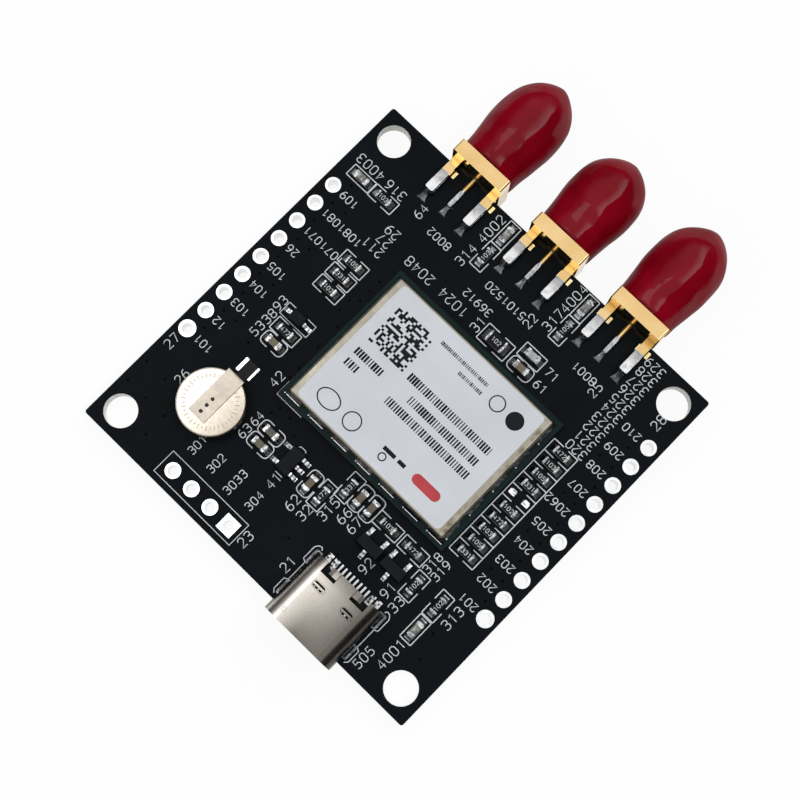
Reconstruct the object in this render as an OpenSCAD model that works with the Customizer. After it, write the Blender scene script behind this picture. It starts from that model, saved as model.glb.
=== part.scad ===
// Satellite receiver board: a square circuit board that carries a shielded
// receiver module, three edge antenna jacks under soft dust caps, a USB port
// and a backup cell. Millimetres.
// Origin: centre of the corner-hole pattern on the underside of the board.
// +X is the long header row, +Y the antenna side, +Z the component side.

/* [Board] */
// Side of the square board
board_w = 43; // [39:0.5:60]
// Thickness of the board
board_t = 1.6; // [0.8:0.1:2.4]
// Radius of the board's corners
board_corner_r = 0.3; // [0.1:0.1:1]
// Distance of a corner hole from both edges
hole_inset = 2.5; // [2.3:0.1:3]
// Diameter of a corner hole
hole_d = 3.4; // [2:0.1:3.6]

/* [Header rows] */
// Pitch of the header holes
header_pitch = 2.54; // [2:0.01:2.54]
// Holes in the left row
left_count = 9; // [2:1:10]
// Holes in the right row
right_count = 10; // [2:1:10]
// Holes in the rear row
rear_count = 4; // [2:1:4]
// Distance of a side row from its board edge
side_row_inset = 1.3; // [1.2:0.05:1.6]
// Distance of the rear row from its board edge
rear_row_inset = 1.95; // [1.3:0.05:2.2]
// Y of the first hole in the side rows
side_row_start = -8.75; // [-10:0.05:-6]
// X of the first hole in the rear row
rear_row_start = -11.2; // [-12:0.05:-10]
// Diameter of a round pad
pad_d = 1.6; // [1.5:0.05:2]
// Size of the larger pads: the first of a side row, the square one in the rear row
first_pad_d = 1.75; // [1.5:0.05:2]
// Finished diameter of a header hole
header_hole_d = 1.1; // [0.8:0.05:1.2]
// Thickness of the plated copper
copper_t = 0.05; // [0.03:0.01:0.1]

/* [Receiver module] */
// Module length along X
module_w = 22; // [20:0.5:24]
// Module width along Y
module_l = 17; // [15:0.5:19]
// Thickness of the module's own board
module_t = 0.8; // [0.6:0.1:1.2]
// Module centre along X
module_x = 1.8; // [0:0.1:2]
// Module centre along Y
module_y = 1.4; // [1:0.1:1.6]
// Rim of module board left outside the shield
shield_margin = 0.75; // [0.5:0.05:1]
// Height of the shield above the module board
shield_h = 1.6; // [1.4:0.1:2.4]
// Sheet thickness of the shield
shield_wall = 0.2; // [0.1:0.05:0.3]
// Radius of the shield's drawn edges
shield_r = 0.3; // [0.25:0.05:0.5]
// Rim of shield left outside the label at its ends
label_margin_x = 0.82; // [0.3:0.02:2]
// Rim of shield left outside the label along its sides
label_margin_y = 0.3; // [0.3:0.05:2]
// Thickness of the label
label_t = 0.06; // [0.04:0.01:0.12]
// Corner radius of the label
label_r = 0.5; // [0.3:0.1:1.5]
// Leg of a solder fillet along the shield
shield_fillet = 0.28; // [0.1:0.02:0.4]
// Length of a solder fillet
dash_l = 2.1; // [1:0.1:2.4]
// Side of the receiver chip under the shield
chip_side = 7; // [5:0.5:8]
// Height of that chip
chip_h = 0.85; // [0.6:0.05:1]
// Size of the reference oscillator under the shield
oscillator_size = [2.5, 2, 0.8]; // [0.6:0.1:3.2]
// Size of a radio filter under the shield
filter_size = [1.4, 1.1, 0.5]; // [0.4:0.1:2]
// Distance between the solder fillets
dash_pitch = 3.19; // [2.6:0.01:4]

/* [Antenna jacks] */
// Distance between the jacks
jack_pitch = 10.54; // [9:0.01:12]
// X of the middle jack
jack_x = 0.13; // [-1:0.01:1]
// Side of the square flange
flange_w = 6.35; // [6.35:0.05:7.5]
// Thickness of the flange
flange_t = 1.45; // [1.2:0.05:2]
// Gap between the flange and the board edge
flange_gap = 0.24; // [0:0.02:0.5]
// Radius along the flange's edges
flange_r = 0.2; // [0.1:0.05:0.4]
// Width of a leg
leg_w = 0.95; // [0.7:0.05:1.1]
// Height of a leg over the board
leg_h = 1.1; // [0.8:0.05:1.2]
// Distance between the legs of a pair
leg_spread = 5.1; // [5:0.05:5.2]
// Length of a leg behind the flange
leg_len = 4.05; // [3:0.05:5]
// Root diameter of the threaded barrel
barrel_d = 5.7; // [5.2:0.05:5.8]
// Diameter of the plain neck behind the thread
neck_d = 5.2; // [4.8:0.05:5.2]
// Length of the plain neck
neck_len = 1.3; // [0.8:0.1:2]
// Length of the barrel in front of the flange
barrel_len = 7.9; // [6:0.1:8]
// Chamfer at the front of the barrel
barrel_chamfer = 0.4; // [0.2:0.05:0.5]
// Bore of the barrel
jack_bore_d = 4.1; // [3.8:0.05:4.2]
// Hole in the rear web of the flange
rear_hole_d = 1.7; // [1.4:0.05:1.9]
// Thickness of that rear web
rear_web_t = 0.8; // [0.5:0.05:1]
// Diameter of the solder pin
pin_d = 0.5; // [0.4:0.05:0.8]
// Length of the solder pin behind the flange
pin_len = 3.8; // [3:0.05:4]
// Outer diameter of the spring socket
socket_d = 1.27; // [1.1:0.01:1.4]
// Hole of the spring socket
socket_hole_d = 0.92; // [0.8:0.01:1]
// Depth of that hole and of its slots
socket_depth = 3; // [2:0.1:4]
// Width of a socket slot
socket_slot = 0.2; // [0.1:0.05:0.3]

/* [Dust caps] */
// Reach of the three caps past the barrel, which varies as dipped vinyl does
cap_reach = [3.5, 2.7, 3.3]; // [2.5:0.05:5]
// Bore of a cap, over the crests of the thread
cap_bore_d = 6.2; // [6.1:0.02:6.3]
// Wall of the thin lip
cap_lip_t = 0.2; // [0.15:0.05:0.4]
// Diameter of the belly
cap_belly_d = 7.6; // [7.4:0.05:8.2]
// Distance of the belly from the mouth
cap_belly_from = 5.4; // [4.6:0.1:6]
// Gap between the mouth and the flange
cap_seat_gap = 0.1; // [0.05:0.05:0.5]
// Room between the barrel's front and the end of the cap's bore
cap_end_room = 0.2; // [0.1:0.05:0.4]

/* [USB port] */
// X of the port
port_x = 8.73; // [8:0.01:10]
// Width of the shell
port_w = 8.5; // [8.4:0.05:9]
// Height of the shell
port_h = 3.2; // [3:0.05:3.4]
// Length of the shell
port_len = 7.15; // [6.5:0.05:7.5]
// Reach of the shell past the board edge
port_reach = 0.97; // [0.5:0.01:1.5]
// Sheet thickness of the shell
port_wall = 0.25; // [0.2:0.01:0.3]
// Width of a shell leg
port_leg_w = 1.1; // [0.8:0.1:1.4]
// Depth of a shell leg below the board top
port_leg_depth = 1.4; // [0.6:0.1:1.6]
// Distance of the front shell legs from the front
port_leg_front = 2.5; // [2:0.05:3]
// Distance of the rear shell legs from the rear
port_leg_rear = 0.7; // [0.6:0.05:1]
// Width of the tongue
tongue_w = 6.7; // [6.4:0.05:6.8]
// Thickness of the tongue
tongue_t = 0.7; // [0.5:0.05:0.8]
// Distance of the tongue's tip from the front
tongue_inset = 1; // [0.6:0.05:1.5]
// Length of the moulded block behind the tongue
block_len = 1.6; // [1.5:0.05:1.9]
// Pitch of the contacts
contact_pitch = 0.5; // [0.4:0.01:0.52]
// Width of a contact
contact_w = 0.2; // [0.18:0.01:0.32]
// Width of a power contact's tail
power_tail_w = 0.6; // [0.4:0.02:0.7]
// Reach of the tails behind the shell
tail_reach = 0.8; // [0.5:0.05:1]
// Thickness of the contacts
contact_t = 0.12; // [0.1:0.01:0.2]
// Step of the tail bend in front of the shell's rear
tail_step = 0.35; // [0.3:0.05:0.5]
// Places of the power tails from the middle
power_tail_at = [2.4, 3.2]; // [2.3:0.05:3.3]
// Thickness of a contact blade on the tongue
blade_t = 0.05; // [0.03:0.01:0.1]
// Distance of the blades from the tongue's tip
blade_tip = 0.3; // [0.2:0.05:0.5]
// Distance of the blades from the moulded block
blade_room = 0.5; // [0.2:0.05:1]
// Start of the shell's rear cut-outs from the middle
cut_in = 1; // [0.8:0.05:1.2]
// End of the rear cut-outs from the middle
cut_out = 2.75; // [2.5:0.05:2.9]
// Slot beside the bent tab
cut_slot = 0.75; // [0.5:0.05:0.9]
// Depth of the rear cut-outs
cut_depth = 1.15; // [1:0.05:1.3]
// Slot in front of the bent tab
cut_foot = 0.38; // [0.3:0.02:0.5]
// Angle of the bent tab
tab_drop = 12; // [6:1:15]
// Width of a dimple in the roof
dimple_w = 1.4; // [1:0.05:1.6]
// Length of that dimple
dimple_l = 0.6; // [0.4:0.05:0.7]
// Width of the bar that is pressed in across a dimple
dimple_bar_w = 0.2; // [0.15:0.01:0.25]
// Depth of that bar below the roof
dimple_bar_drop = 0.08; // [0.05:0.01:0.12]
// Distance of the dimples from the rear
dimple_at = 2.3; // [1.9:0.05:2.6]
// Distance of a dimple from the middle
dimple_x = 1.8; // [1.4:0.05:2]

/* [Backup cell] */
// X of the cell
cell_x = -13; // [-13.5:0.05:-12.5]
// Distance of the cell's centre from the rear edge
cell_inset = 9.15; // [8.9:0.05:9.5]
// Diameter of the cell
cell_d = 6.8; // [6:0.1:6.8]
// Height of the cell
cell_h = 1.9; // [1.4:0.1:2.4]
// Radius of the can's top edge
cell_edge_r = 0.2; // [0.1:0.05:0.4]
// Diameter of the smaller lid under the can
cell_lid_d = 5.4; // [4.5:0.1:5.4]
// Height of that lid below the can
cell_lid_h = 0.25; // [0.15:0.05:0.4]
// Width of the welded strips
strip_w = 2.05; // [1.5:0.05:2.5]
// Thickness of the welded strips
strip_t = 0.15; // [0.1:0.01:0.2]
// Reach of the top strip past the cell's centre
strip_reach = 1.9; // [1.6:0.05:2.5]
// Width of the top strip's foot
foot_w = 1.2; // [0.8:0.05:1.8]
// Length of that foot on the board
foot_len = 2.1; // [1.5:0.05:2.3]
// Diameter of a weld dimple
weld_d = 0.4; // [0.2:0.05:0.5]
// Distance between the weld dimples
weld_pitch = 0.8; // [0.6:0.05:0.8]

/* [Small parts] */
// Length of the small chip parts
chip_l = 1.6; // [1:0.1:1.6]
// Width of the small chip parts
chip_w = 0.8; // [0.5:0.05:0.85]
// Length of the large resistor
large_l = 2; // [1.6:0.1:2.2]
// Width of the large resistor
large_w = 1.25; // [0.8:0.05:1.3]
// Height of a resistor's ceramic body
resistor_h = 0.4; // [0.3:0.05:0.6]
// Thickness of a resistor's glassy coat
coat_t = 0.06; // [0.04:0.01:0.1]
// Height of a capacitor
capacitor_h = 0.75; // [0.5:0.05:0.9]
// Height of the inductor
inductor_h = 0.8; // [0.5:0.05:1]
// Length of a metal end along its part
end_l = 0.35; // [0.2:0.05:0.4]
// Length of a resistor's metal end on its top
resistor_end_l = 0.2; // [0.15:0.05:0.4]
// Thickness of a metal end
end_t = 0.05; // [0.03:0.01:0.08]
// Height of an indicator's base
led_base_h = 0.25; // [0.2:0.05:0.4]
// Height of an indicator's clear lens
led_lens_h = 0.35; // [0.2:0.05:0.6]
// Pitch of the resistor row beside the module
row_pitch = 1.475; // [1.3:0.005:1.475]
// Places in that row, one of them left empty
row_count = 10; // [2:1:10]
// The empty place in that row
row_gap_at = 4; // [0:1:9]
// Height of the moulded bodies
moulded_h = 1; // [0.8:0.05:1.2]
// Gap between a moulded body and the board
moulded_gap = 0.08; // [0.05:0.01:0.15]
// Inset of a moulded body's top and bottom edges
moulded_draft = 0.12; // [0.05:0.01:0.2]
// Thickness of a bent lead
lead_t = 0.13; // [0.1:0.01:0.2]
// Width of a bent lead
lead_w = 0.42; // [0.3:0.02:0.5]
// Reach of a bent lead past its body
lead_reach = 0.6; // [0.45:0.05:0.6]
// Distance between neighbouring leads
lead_pitch = 0.95; // [0.8:0.05:1]
// Width of a clamp part's body
clamp_w = 2.8; // [2.4:0.05:2.9]
// Length of a clamp part's body
clamp_l = 1.3; // [1:0.05:1.4]
// Width of the regulator's body
regulator_w = 1.6; // [1.4:0.05:1.8]
// Length of the regulator's body
regulator_l = 2.9; // [2.6:0.05:3.1]
// Width of the diode's body
diode_w = 1.7; // [1.4:0.05:1.8]
// Length of the diode's body
diode_l = 1.3; // [1:0.05:1.4]

/* [Places of the small parts] */
// Resistor row: distance from the module's end
row_gap = 1.77; // [1.5:0.01:2.5]
// Resistor row: first place from the module's centre line
row_start = 6.32; // [5.5:0.01:6.5]
// Left column: distance from the module's end
left_gap = 3.85; // [3.5:0.05:4.5]
// Left column: resistors, from the module's centre line
left_resistors = [5.75, 4, 2.3, -3.7]; // [-4:0.05:6]
// Left column: diode, from the module's centre line
left_diode = -2; // [-2.2:0.05:-1.8]
// Left column: capacitor, from the module's centre line
left_capacitor = -5.3; // [-5.5:0.05:-5]
// Front parts: distance of the large resistor from the module's side
front_resistor_gap = 1.45; // [1.2:0.05:1.6]
// Front parts: distance of the capacitor from the module's side
front_capacitor_gap = 1.2; // [1:0.05:1.3]
// Front parts: distance of the inductor from the module's side
front_inductor_gap = 2.85; // [2.6:0.05:3]
// Front parts: the large resistor from the module's middle
front_resistor_x = 0.6; // [0:0.05:1]
// Front parts: the capacitor and the inductor from the module's middle
front_pair_x = 4.15; // [3.8:0.05:5]
// Rear row: distance of the flat resistors from the module's side
rear_flat_gap = 1.8; // [1.6:0.05:2]
// Rear row: flat resistors, from the module's middle
rear_flats = [5.65, 9]; // [5.5:0.05:9.2]
// Rear row: distance of the upright chips from the module's side
rear_upright_gap = 1.7; // [1.6:0.05:2]
// Rear row: upright resistor, from the module's middle
rear_upright_resistor = 0.4; // [0.2:0.05:0.6]
// Rear row: upright capacitors, from the module's middle
rear_upright_capacitors = [1.9, 3.35]; // [1.7:0.05:3.6]
// Supply parts: distance of the upright chips from the module's side
supply_gap = 4.1; // [3.9:0.05:4.4]
// Supply parts: upright resistor, from the module's middle
supply_resistor = -1; // [-1.2:0.05:-0.8]
// Supply parts: upright capacitor, from the module's middle
supply_capacitor = -2.6; // [-2.8:0.05:-2.4]
// Supply parts: regulator, from the module's middle
supply_regulator = -5.45; // [-5.6:0.05:-5.3]
// Supply parts: distance of the regulator from the module's side
supply_regulator_gap = 3.9; // [3.7:0.05:4.2]
// Supply parts: flat capacitors, from the module's middle
supply_flat_x = -8.75; // [-9:0.05:-8.5]
// Supply parts: distances of the flat capacitors from the module's side
supply_flat_gaps = [3.25, 4.8]; // [3:0.05:5]
// Clamp parts: places from the middle of the port
clamp_at = [-1.18, 1.87]; // [-1.5:0.01:2]
// Clamp parts: share of the free room that lies in front of them
clamp_share = 0.349; // [0.2:0.001:0.8]
// Clamp parts: their upright resistor, from the middle of the port
clamp_resistor_x = 4.47; // [4.3:0.01:4.8]
// Clamp parts: step of that resistor in front of them
clamp_resistor_y = 0.25; // [0:0.05:0.5]
// Power indicator: distance from the middle of the port
power_x = 7.42; // [7.2:0.01:7.6]
// Power indicator: distance from the rear edge
power_inset = 7.4; // [7:0.05:8]
// Power indicator: distance of its resistor from the rear edge
power_resistor_inset = 10.5; // [10:0.05:11]
// Jack indicators: places from the middle jack
jack_leds = [-4.43, 6.22]; // [-5:0.01:6.5]
// Jack indicators: distance from the front edge
jack_led_inset = 1.65; // [1.2:0.05:2]
// Jack indicators: distance of their resistors from the front edge
jack_resistor_inset = 4.65; // [4:0.05:5]
// Side indicator: distance from the left edge
side_led_inset = 2.85; // [2:0.05:3]
// Side indicator: distance of its resistor from the left edge
side_resistor_inset = 5.9; // [5:0.05:6.5]
// Side indicator: distance past the last hole of the left row
side_led_step = 2.43; // [2:0.01:3]

/* [Fits] */
// Clearance round a piece that sits in a bore
bore_fit = 0.02; // [0.01:0.01:0.04]
// Clearance round a shell leg in its board slot
slot_fit = 0.15; // [0.05:0.05:0.2]

/* [Hidden] */
$fn = 48;
cut = 0.5;
top = board_t;
hole_at = board_w / 2 - hole_inset;
side_row_x = board_w / 2 - side_row_inset;
rear_row_y = -board_w / 2 + rear_row_inset;
module_top = top + module_t;
shield_w = module_w - 2 * shield_margin;
shield_l = module_l - 2 * shield_margin;
shield_top = module_top + shield_h;
flange_back = board_w / 2 + flange_gap;
jack_z = top + pin_d / 2;
jack_front = flange_t + barrel_len;
socket_start = flange_t + neck_len;
cap_lengths = [for (reach = cap_reach) barrel_len + reach];
port_front = -board_w / 2 - port_reach;
port_mid = port_h / 2;
tail_start = port_len - tail_step;
port_leg_at = [port_leg_front, port_len - port_leg_rear];
block_w = port_w - 2 * port_wall - 2 * bore_fit;
block_h = port_h - 2 * port_wall - 2 * bore_fit;
cell_y = -board_w / 2 + cell_inset;
cell_base = top + strip_t;
cell_top = cell_base + cell_h;
resistor_top = end_t + resistor_h;
led_top = led_base_h + led_lens_h;
module_left = module_x - module_w / 2;
module_right = module_x + module_w / 2;
module_rear = module_y - module_l / 2;
module_front = module_y + module_l / 2;
front_edge = board_w / 2;
left_row_end = side_row_start + (left_count - 1) * header_pitch;

// The clamp parts share the room between the rear row and the tails of the port
clamp_span = clamp_l + 2 * lead_reach;
clamp_room_front = module_rear - rear_flat_gap - chip_w / 2;
clamp_room_rear = port_front + port_len + tail_reach;
clamp_free = clamp_room_front - clamp_room_rear - clamp_span;
clamp_y = clamp_room_front - clamp_share * clamp_free - clamp_span / 2;

// Places of the small parts: X, Y and the turn about Z
resistor_places = concat(
    [for (i = [0:row_count - 1]) if (i != row_gap_at)
        [module_right + row_gap, module_y + row_start - i * row_pitch, 0]],
    [for (y = left_resistors) [module_left - left_gap, module_y + y, 0]],
    [for (x = rear_flats) [module_x + x, module_rear - rear_flat_gap, 0]],
    [for (x = jack_leds) [jack_x + x, front_edge - jack_resistor_inset, 90]],
    [[-front_edge + side_resistor_inset, left_row_end + side_led_step, 0],
     [module_x + supply_resistor, module_rear - supply_gap, 90],
     [module_x + rear_upright_resistor, module_rear - rear_upright_gap, 90],
     [port_x + clamp_resistor_x, clamp_y + clamp_resistor_y, 90],
     [port_x + power_x, -front_edge + power_resistor_inset, 90]]);
large_resistor_place = [module_x + front_resistor_x, module_front + front_resistor_gap, 0];
capacitor_places = concat(
    [[module_x + front_pair_x, module_front + front_capacitor_gap, 0],
     [module_left - left_gap, module_y + left_capacitor, 0],
     [module_x + supply_capacitor, module_rear - supply_gap, 90]],
    [for (y = supply_flat_gaps) [module_x + supply_flat_x, module_rear - y, 0]],
    [for (x = rear_upright_capacitors) [module_x + x, module_rear - rear_upright_gap, 90]]);
inductor_place = [module_x + front_pair_x, module_front + front_inductor_gap, 0];
led_places = concat(
    [[-front_edge + side_led_inset, left_row_end + side_led_step, 0]],
    [for (x = jack_leds) [jack_x + x, front_edge - jack_led_inset, 90]],
    [[port_x + power_x, -front_edge + power_inset, 90]]);
clamp_places = [for (x = clamp_at) [port_x + x, clamp_y, 0]];
regulator_place = [module_x + supply_regulator, module_rear - supply_regulator_gap, 0];
diode_place = [module_left - left_gap, module_y + left_diode, 0];
chip_place = [0.1 * shield_w, 0.03 * shield_l];
oscillator_place = [-0.22 * shield_w, -0.225 * shield_l];
filter_places = [for (y = [0.155, 0.335]) [-0.4 * shield_w, y * shield_l]];

JACKS = [1:len(cap_lengths)];
LEDS = [1:len(led_places)];
CLAMPS = [1:len(clamp_places)];

function numbered(name, range) = [for (i = range) str(name, "_", i)];

// Shared shapes

module rounded_rect(w, l, r) {
    square([w - 2 * r, l], center = true);
    square([w, l - 2 * r], center = true);
    for (x = [-1, 1], y = [-1, 1])
        translate([x * (w / 2 - r), y * (l / 2 - r)]) circle(r);
}

module stadium(w, h) {
    square([w - h, h], center = true);
    for (x = [-1, 1])
        translate([x * (w - h) / 2, 0]) circle(d = h);
}

// Stands a shape drawn upright on XY along +Y instead
module along_y() {
    rotate([-90, 0, 0]) children();
}

module box(w, l, h) {
    translate([-w / 2, -l / 2, 0]) cube([w, l, h]);
}

// Closed box with a flat bottom and every other edge rounded
module drawn_box(w, l, h, r) {
    linear_extrude(h - r) rounded_rect(w, l, r);
    translate([0, 0, h - r]) {
        box(w - 2 * r, l - 2 * r, r);
        for (x = [-1, 1], y = [-1, 1])
            translate([x * (w / 2 - r), y * (l / 2 - r), 0]) sphere(r);
        for (y = [-1, 1])
            translate([r - w / 2, y * (l / 2 - r), 0]) rotate([0, 90, 0]) cylinder(r = r, h = w - 2 * r);
        for (x = [-1, 1])
            translate([x * (w / 2 - r), r - l / 2, 0]) along_y() cylinder(r = r, h = l - 2 * r);
    }
}

module at_place(place) {
    translate([place[0], place[1], top]) rotate([0, 0, place[2]]) children();
}

module at_jack(i) {
    translate([jack_x + (i - 2) * jack_pitch, flange_back, jack_z]) children();
}

module at_port() {
    translate([port_x, port_front, top]) children();
}

module at_module() {
    translate([module_x, module_y, 0]) children();
}

// Board

module pcb() {
    color("#16191d")
    difference() {
        linear_extrude(board_t) rounded_rect(board_w, board_w, board_corner_r);
        for (x = [-1, 1], y = [-1, 1])
            translate([x * hole_at, y * hole_at, -cut]) cylinder(d = hole_d, h = board_t + 2 * cut);
        header_places("left") header_drill();
        header_places("right") header_drill();
        header_places("rear") header_drill();
        at_port()
            for (x = [-1, 1], y = port_leg_at)
                translate([x * (port_w - port_wall) / 2, y, -board_t - cut])
                    box(port_wall + 2 * slot_fit, port_leg_w + 2 * slot_fit, board_t + 2 * cut);
    }
}

// Puts its children on each hole of a header row; $first marks the larger pad
module header_places(row) {
    count = row == "left" ? left_count : row == "right" ? right_count : rear_count;
    for (i = [0:count - 1]) {
        $first = row == "rear" ? i == count - 1 : i == 0;
        if (row == "rear")
            translate([rear_row_start + i * header_pitch, rear_row_y, 0]) children();
        else
            translate([(row == "left" ? -1 : 1) * side_row_x, side_row_start + i * header_pitch, 0])
                children();
    }
}

module header_drill() {
    translate([0, 0, -cut])
        cylinder(d = header_hole_d + 2 * (copper_t + bore_fit), h = board_t + 2 * cut);
}

// Plated hole: a ring on each face joined by a thin sleeve
module plated_hole(square_pad) {
    difference() {
        union() {
            for (z = [-copper_t, board_t])
                translate([0, 0, z])
                    if (square_pad) box(first_pad_d, first_pad_d, copper_t);
                    else cylinder(d = $first ? first_pad_d : pad_d, h = copper_t);
            cylinder(d = header_hole_d + 2 * copper_t, h = board_t);
        }
        translate([0, 0, -cut]) cylinder(d = header_hole_d, h = board_t + 2 * cut);
    }
}

module header_pads(row) {
    color("#e4e6e6") header_places(row) plated_hole(row == "rear" && $first);
}

// Receiver module

module module_substrate() {
    color("#14342f") at_module() translate([0, 0, top]) box(module_w, module_l, module_t);
}

module module_shield() {
    color("#c8bfae") at_module() translate([0, 0, module_top])
        difference() {
            drawn_box(shield_w, shield_l, shield_h, shield_r);
            translate([0, 0, -cut])
                box(shield_w - 2 * shield_wall, shield_l - 2 * shield_wall, shield_h - shield_wall + cut);
        }
}

module module_label() {
    color("#d3d6da") at_module() translate([0, 0, shield_top])
        linear_extrude(label_t)
            rounded_rect(shield_w - 2 * label_margin_x, shield_l - 2 * label_margin_y, label_r);
}

// Solder fillet of a given length against a wall that faces +Y
module wall_fillet(length) {
    translate([-length / 2, 0, 0]) rotate([90, 0, 90])
        linear_extrude(length) polygon([[0, 0], [shield_fillet, 0], [0, shield_fillet]]);
}

module module_solder() {
    count_w = floor((shield_w / 2 + 2 * shield_fillet - dash_l / 2) / dash_pitch);
    count_l = floor((shield_l / 2 - shield_fillet - dash_l / 2) / dash_pitch);
    color("#d8d8d4") at_module() translate([0, 0, module_top])
        for (side = [0, 180]) rotate([0, 0, side]) {
            for (i = [-count_w:count_w])
                translate([i * dash_pitch, shield_l / 2, 0]) wall_fillet(dash_l);
            rotate([0, 0, 90])
                for (i = [-count_l:count_l])
                    translate([i * dash_pitch, shield_w / 2, 0]) wall_fillet(dash_l);
        }
}

module receiver_chip() {
    color("#1d1f22") at_module() translate([chip_place[0], chip_place[1], module_top])
        box(chip_side, chip_side, chip_h);
}

module reference_oscillator() {
    color("#c9c3b4") at_module() translate([oscillator_place[0], oscillator_place[1], module_top])
        box(oscillator_size[0], oscillator_size[1], oscillator_size[2]);
}

module rf_filters() {
    color("#b9b2a0") at_module()
        for (place = filter_places)
            translate([place[0], place[1], module_top]) box(filter_size[0], filter_size[1], filter_size[2]);
}

// Antenna jacks, drawn from the flange's rear face with the axis along +Y

module jack_leg(below) {
    leg_z = below ? -jack_z - leg_h : top - jack_z;
    tip_r = leg_w / 5;
    for (x = [-1, 1])
        translate([x * leg_spread / 2, -leg_len, leg_z]) {
            translate([0, (leg_len + rear_web_t / 2 + tip_r) / 2, 0])
                box(leg_w, leg_len + rear_web_t / 2 - tip_r, leg_h);
            box_tip(tip_r);
        }
}

// Rounded tip of a leg
module box_tip(tip_r) {
    translate([0, tip_r / 2, 0]) box(leg_w - 2 * tip_r, tip_r, leg_h);
    for (x = [-1, 1])
        translate([x * (leg_w / 2 - tip_r), tip_r, 0]) cylinder(r = tip_r, h = leg_h);
}

module jack_body(i) {
    color("#e3c98a") at_jack(i)
    difference() {
        union() {
            along_y() linear_extrude(flange_t) rounded_rect(flange_w, flange_w, flange_r);
            along_y() rotate_extrude() polygon([
                [0, flange_t / 2], [neck_d / 2, flange_t / 2], [neck_d / 2, socket_start],
                [barrel_d / 2, socket_start], [barrel_d / 2, jack_front - barrel_chamfer],
                [barrel_d / 2 - barrel_chamfer, jack_front], [0, jack_front]]);
            jack_leg(below = false);
            jack_leg(below = true);
        }
        along_y() translate([0, 0, -leg_len - cut])
            cylinder(d = rear_hole_d, h = leg_len + cut + rear_web_t + cut);
        along_y() translate([0, 0, rear_web_t]) cylinder(d = jack_bore_d, h = jack_front);
    }
}

module jack_insulator(i) {
    front = jack_front - 0.1;
    color("#f1f0ea") at_jack(i) along_y()
    difference() {
        union() {
            cylinder(d = rear_hole_d - 2 * bore_fit, h = rear_web_t + bore_fit);
            translate([0, 0, rear_web_t]) cylinder(d = jack_bore_d - 2 * bore_fit, h = front - rear_web_t);
        }
        translate([0, 0, -cut]) cylinder(d = pin_d + 2 * bore_fit, h = front);
        translate([0, 0, socket_start]) cylinder(d = socket_d + 2 * bore_fit, h = front);
    }
}

module jack_pin(i) {
    front = jack_front - 0.2;
    slot_start = front - socket_depth;
    color("#e8cf8c") at_jack(i) along_y()
    difference() {
        union() {
            translate([0, 0, -pin_len]) cylinder(d = pin_d, h = pin_len + socket_start + cut);
            translate([0, 0, socket_start]) cylinder(d = socket_d, h = front - socket_start);
        }
        translate([0, 0, slot_start]) cylinder(d = socket_hole_d, h = socket_depth + cut);
        translate([0, 0, slot_start])
            for (turn = [0, 90])
                rotate([0, 0, turn]) box(2 * socket_d, socket_slot, socket_depth + cut);
    }
}

// Dipped vinyl cap: a thin lip that swells to a belly and closes in a blunt nose

cap_lip_r = cap_bore_d / 2 + cap_lip_t;
function cap_swell(u) = cap_lip_r + (cap_belly_d / 2 - cap_lip_r) * pow(sin(90 * u), 2);
function cap_nose(u) = cap_belly_d / 2 * pow(1 - pow(u, 2.75), 0.73);

module cap_profile(length) {
    bore_end = barrel_len - cap_seat_gap + cap_end_room;
    swell_steps = 6;
    nose_steps = 9;
    polygon(concat(
        [for (k = [0:swell_steps]) [cap_swell(k / swell_steps), cap_belly_from * k / swell_steps]],
        [for (k = [1:nose_steps - 1])
            let (u = sin(90 * k / nose_steps))
                [cap_nose(u), cap_belly_from + (length - cap_belly_from) * u]],
        [[0, length], [0, bore_end], [cap_bore_d / 2 - barrel_chamfer, bore_end],
         [cap_bore_d / 2, bore_end - barrel_chamfer], [cap_bore_d / 2, 0]]));
}

module dust_cap(i) {
    color("#8f0d24") at_jack(i)
        along_y() translate([0, 0, flange_t + cap_seat_gap])
            rotate_extrude() cap_profile(cap_lengths[i - 1]);
}

// USB port, drawn from the front of its shell with its rear along +Y

// Tab in a rear cut-out of the roof: the cut-out is an L round it, and it is bent in
module shell_tab(x) {
    hinge = cut_in + port_wall / 2;
    mirror([x < 0 ? 1 : 0, 0, 0])
        translate([hinge, port_len - cut_depth + cut_foot, port_h - port_wall]) rotate([0, tab_drop, 0])
            translate([-port_wall / 2, 0, 0])
                cube([cut_out - cut_slot - hinge + port_wall / 2, cut_depth - cut_foot, port_wall]);
}

// Round-ended hole of a dimple, drawn round its middle
module dimple_hole() {
    box(dimple_w - dimple_l, dimple_l, port_h);
    for (x = [-1, 1])
        translate([x * (dimple_w - dimple_l) / 2, 0, 0]) cylinder(d = dimple_l, h = port_h);
}

module usb_shell() {
    color("#bdb9b2") at_port() {
        difference() {
            translate([0, 0, port_mid]) along_y() linear_extrude(port_len)
                difference() {
                    stadium(port_w, port_h);
                    stadium(port_w - 2 * port_wall, port_h - 2 * port_wall);
                }
            for (x = [-1, 1]) {
                translate([x * (cut_in + cut_out) / 2, port_len - cut_depth / 2 + cut / 2, port_mid])
                    box(cut_out - cut_in, cut_depth + cut, port_h);
                translate([x * dimple_x, port_len - dimple_at, port_mid]) dimple_hole();
            }
            translate([0, port_len, -cut]) box(tongue_w + 2 * port_wall, 2 * cut_depth, port_wall + 2 * cut);
        }
        for (x = [-1, 1]) {
            shell_tab(x);
            translate([x * dimple_x, port_len - dimple_at, port_h - port_wall])
                box(dimple_w + port_wall, dimple_bar_w, port_wall - dimple_bar_drop);
            for (y = port_leg_at)
                translate([x * (port_w - port_wall) / 2, y, -port_leg_depth])
                    box(port_wall, port_leg_w, port_leg_depth + port_mid);
        }
    }
}

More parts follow.
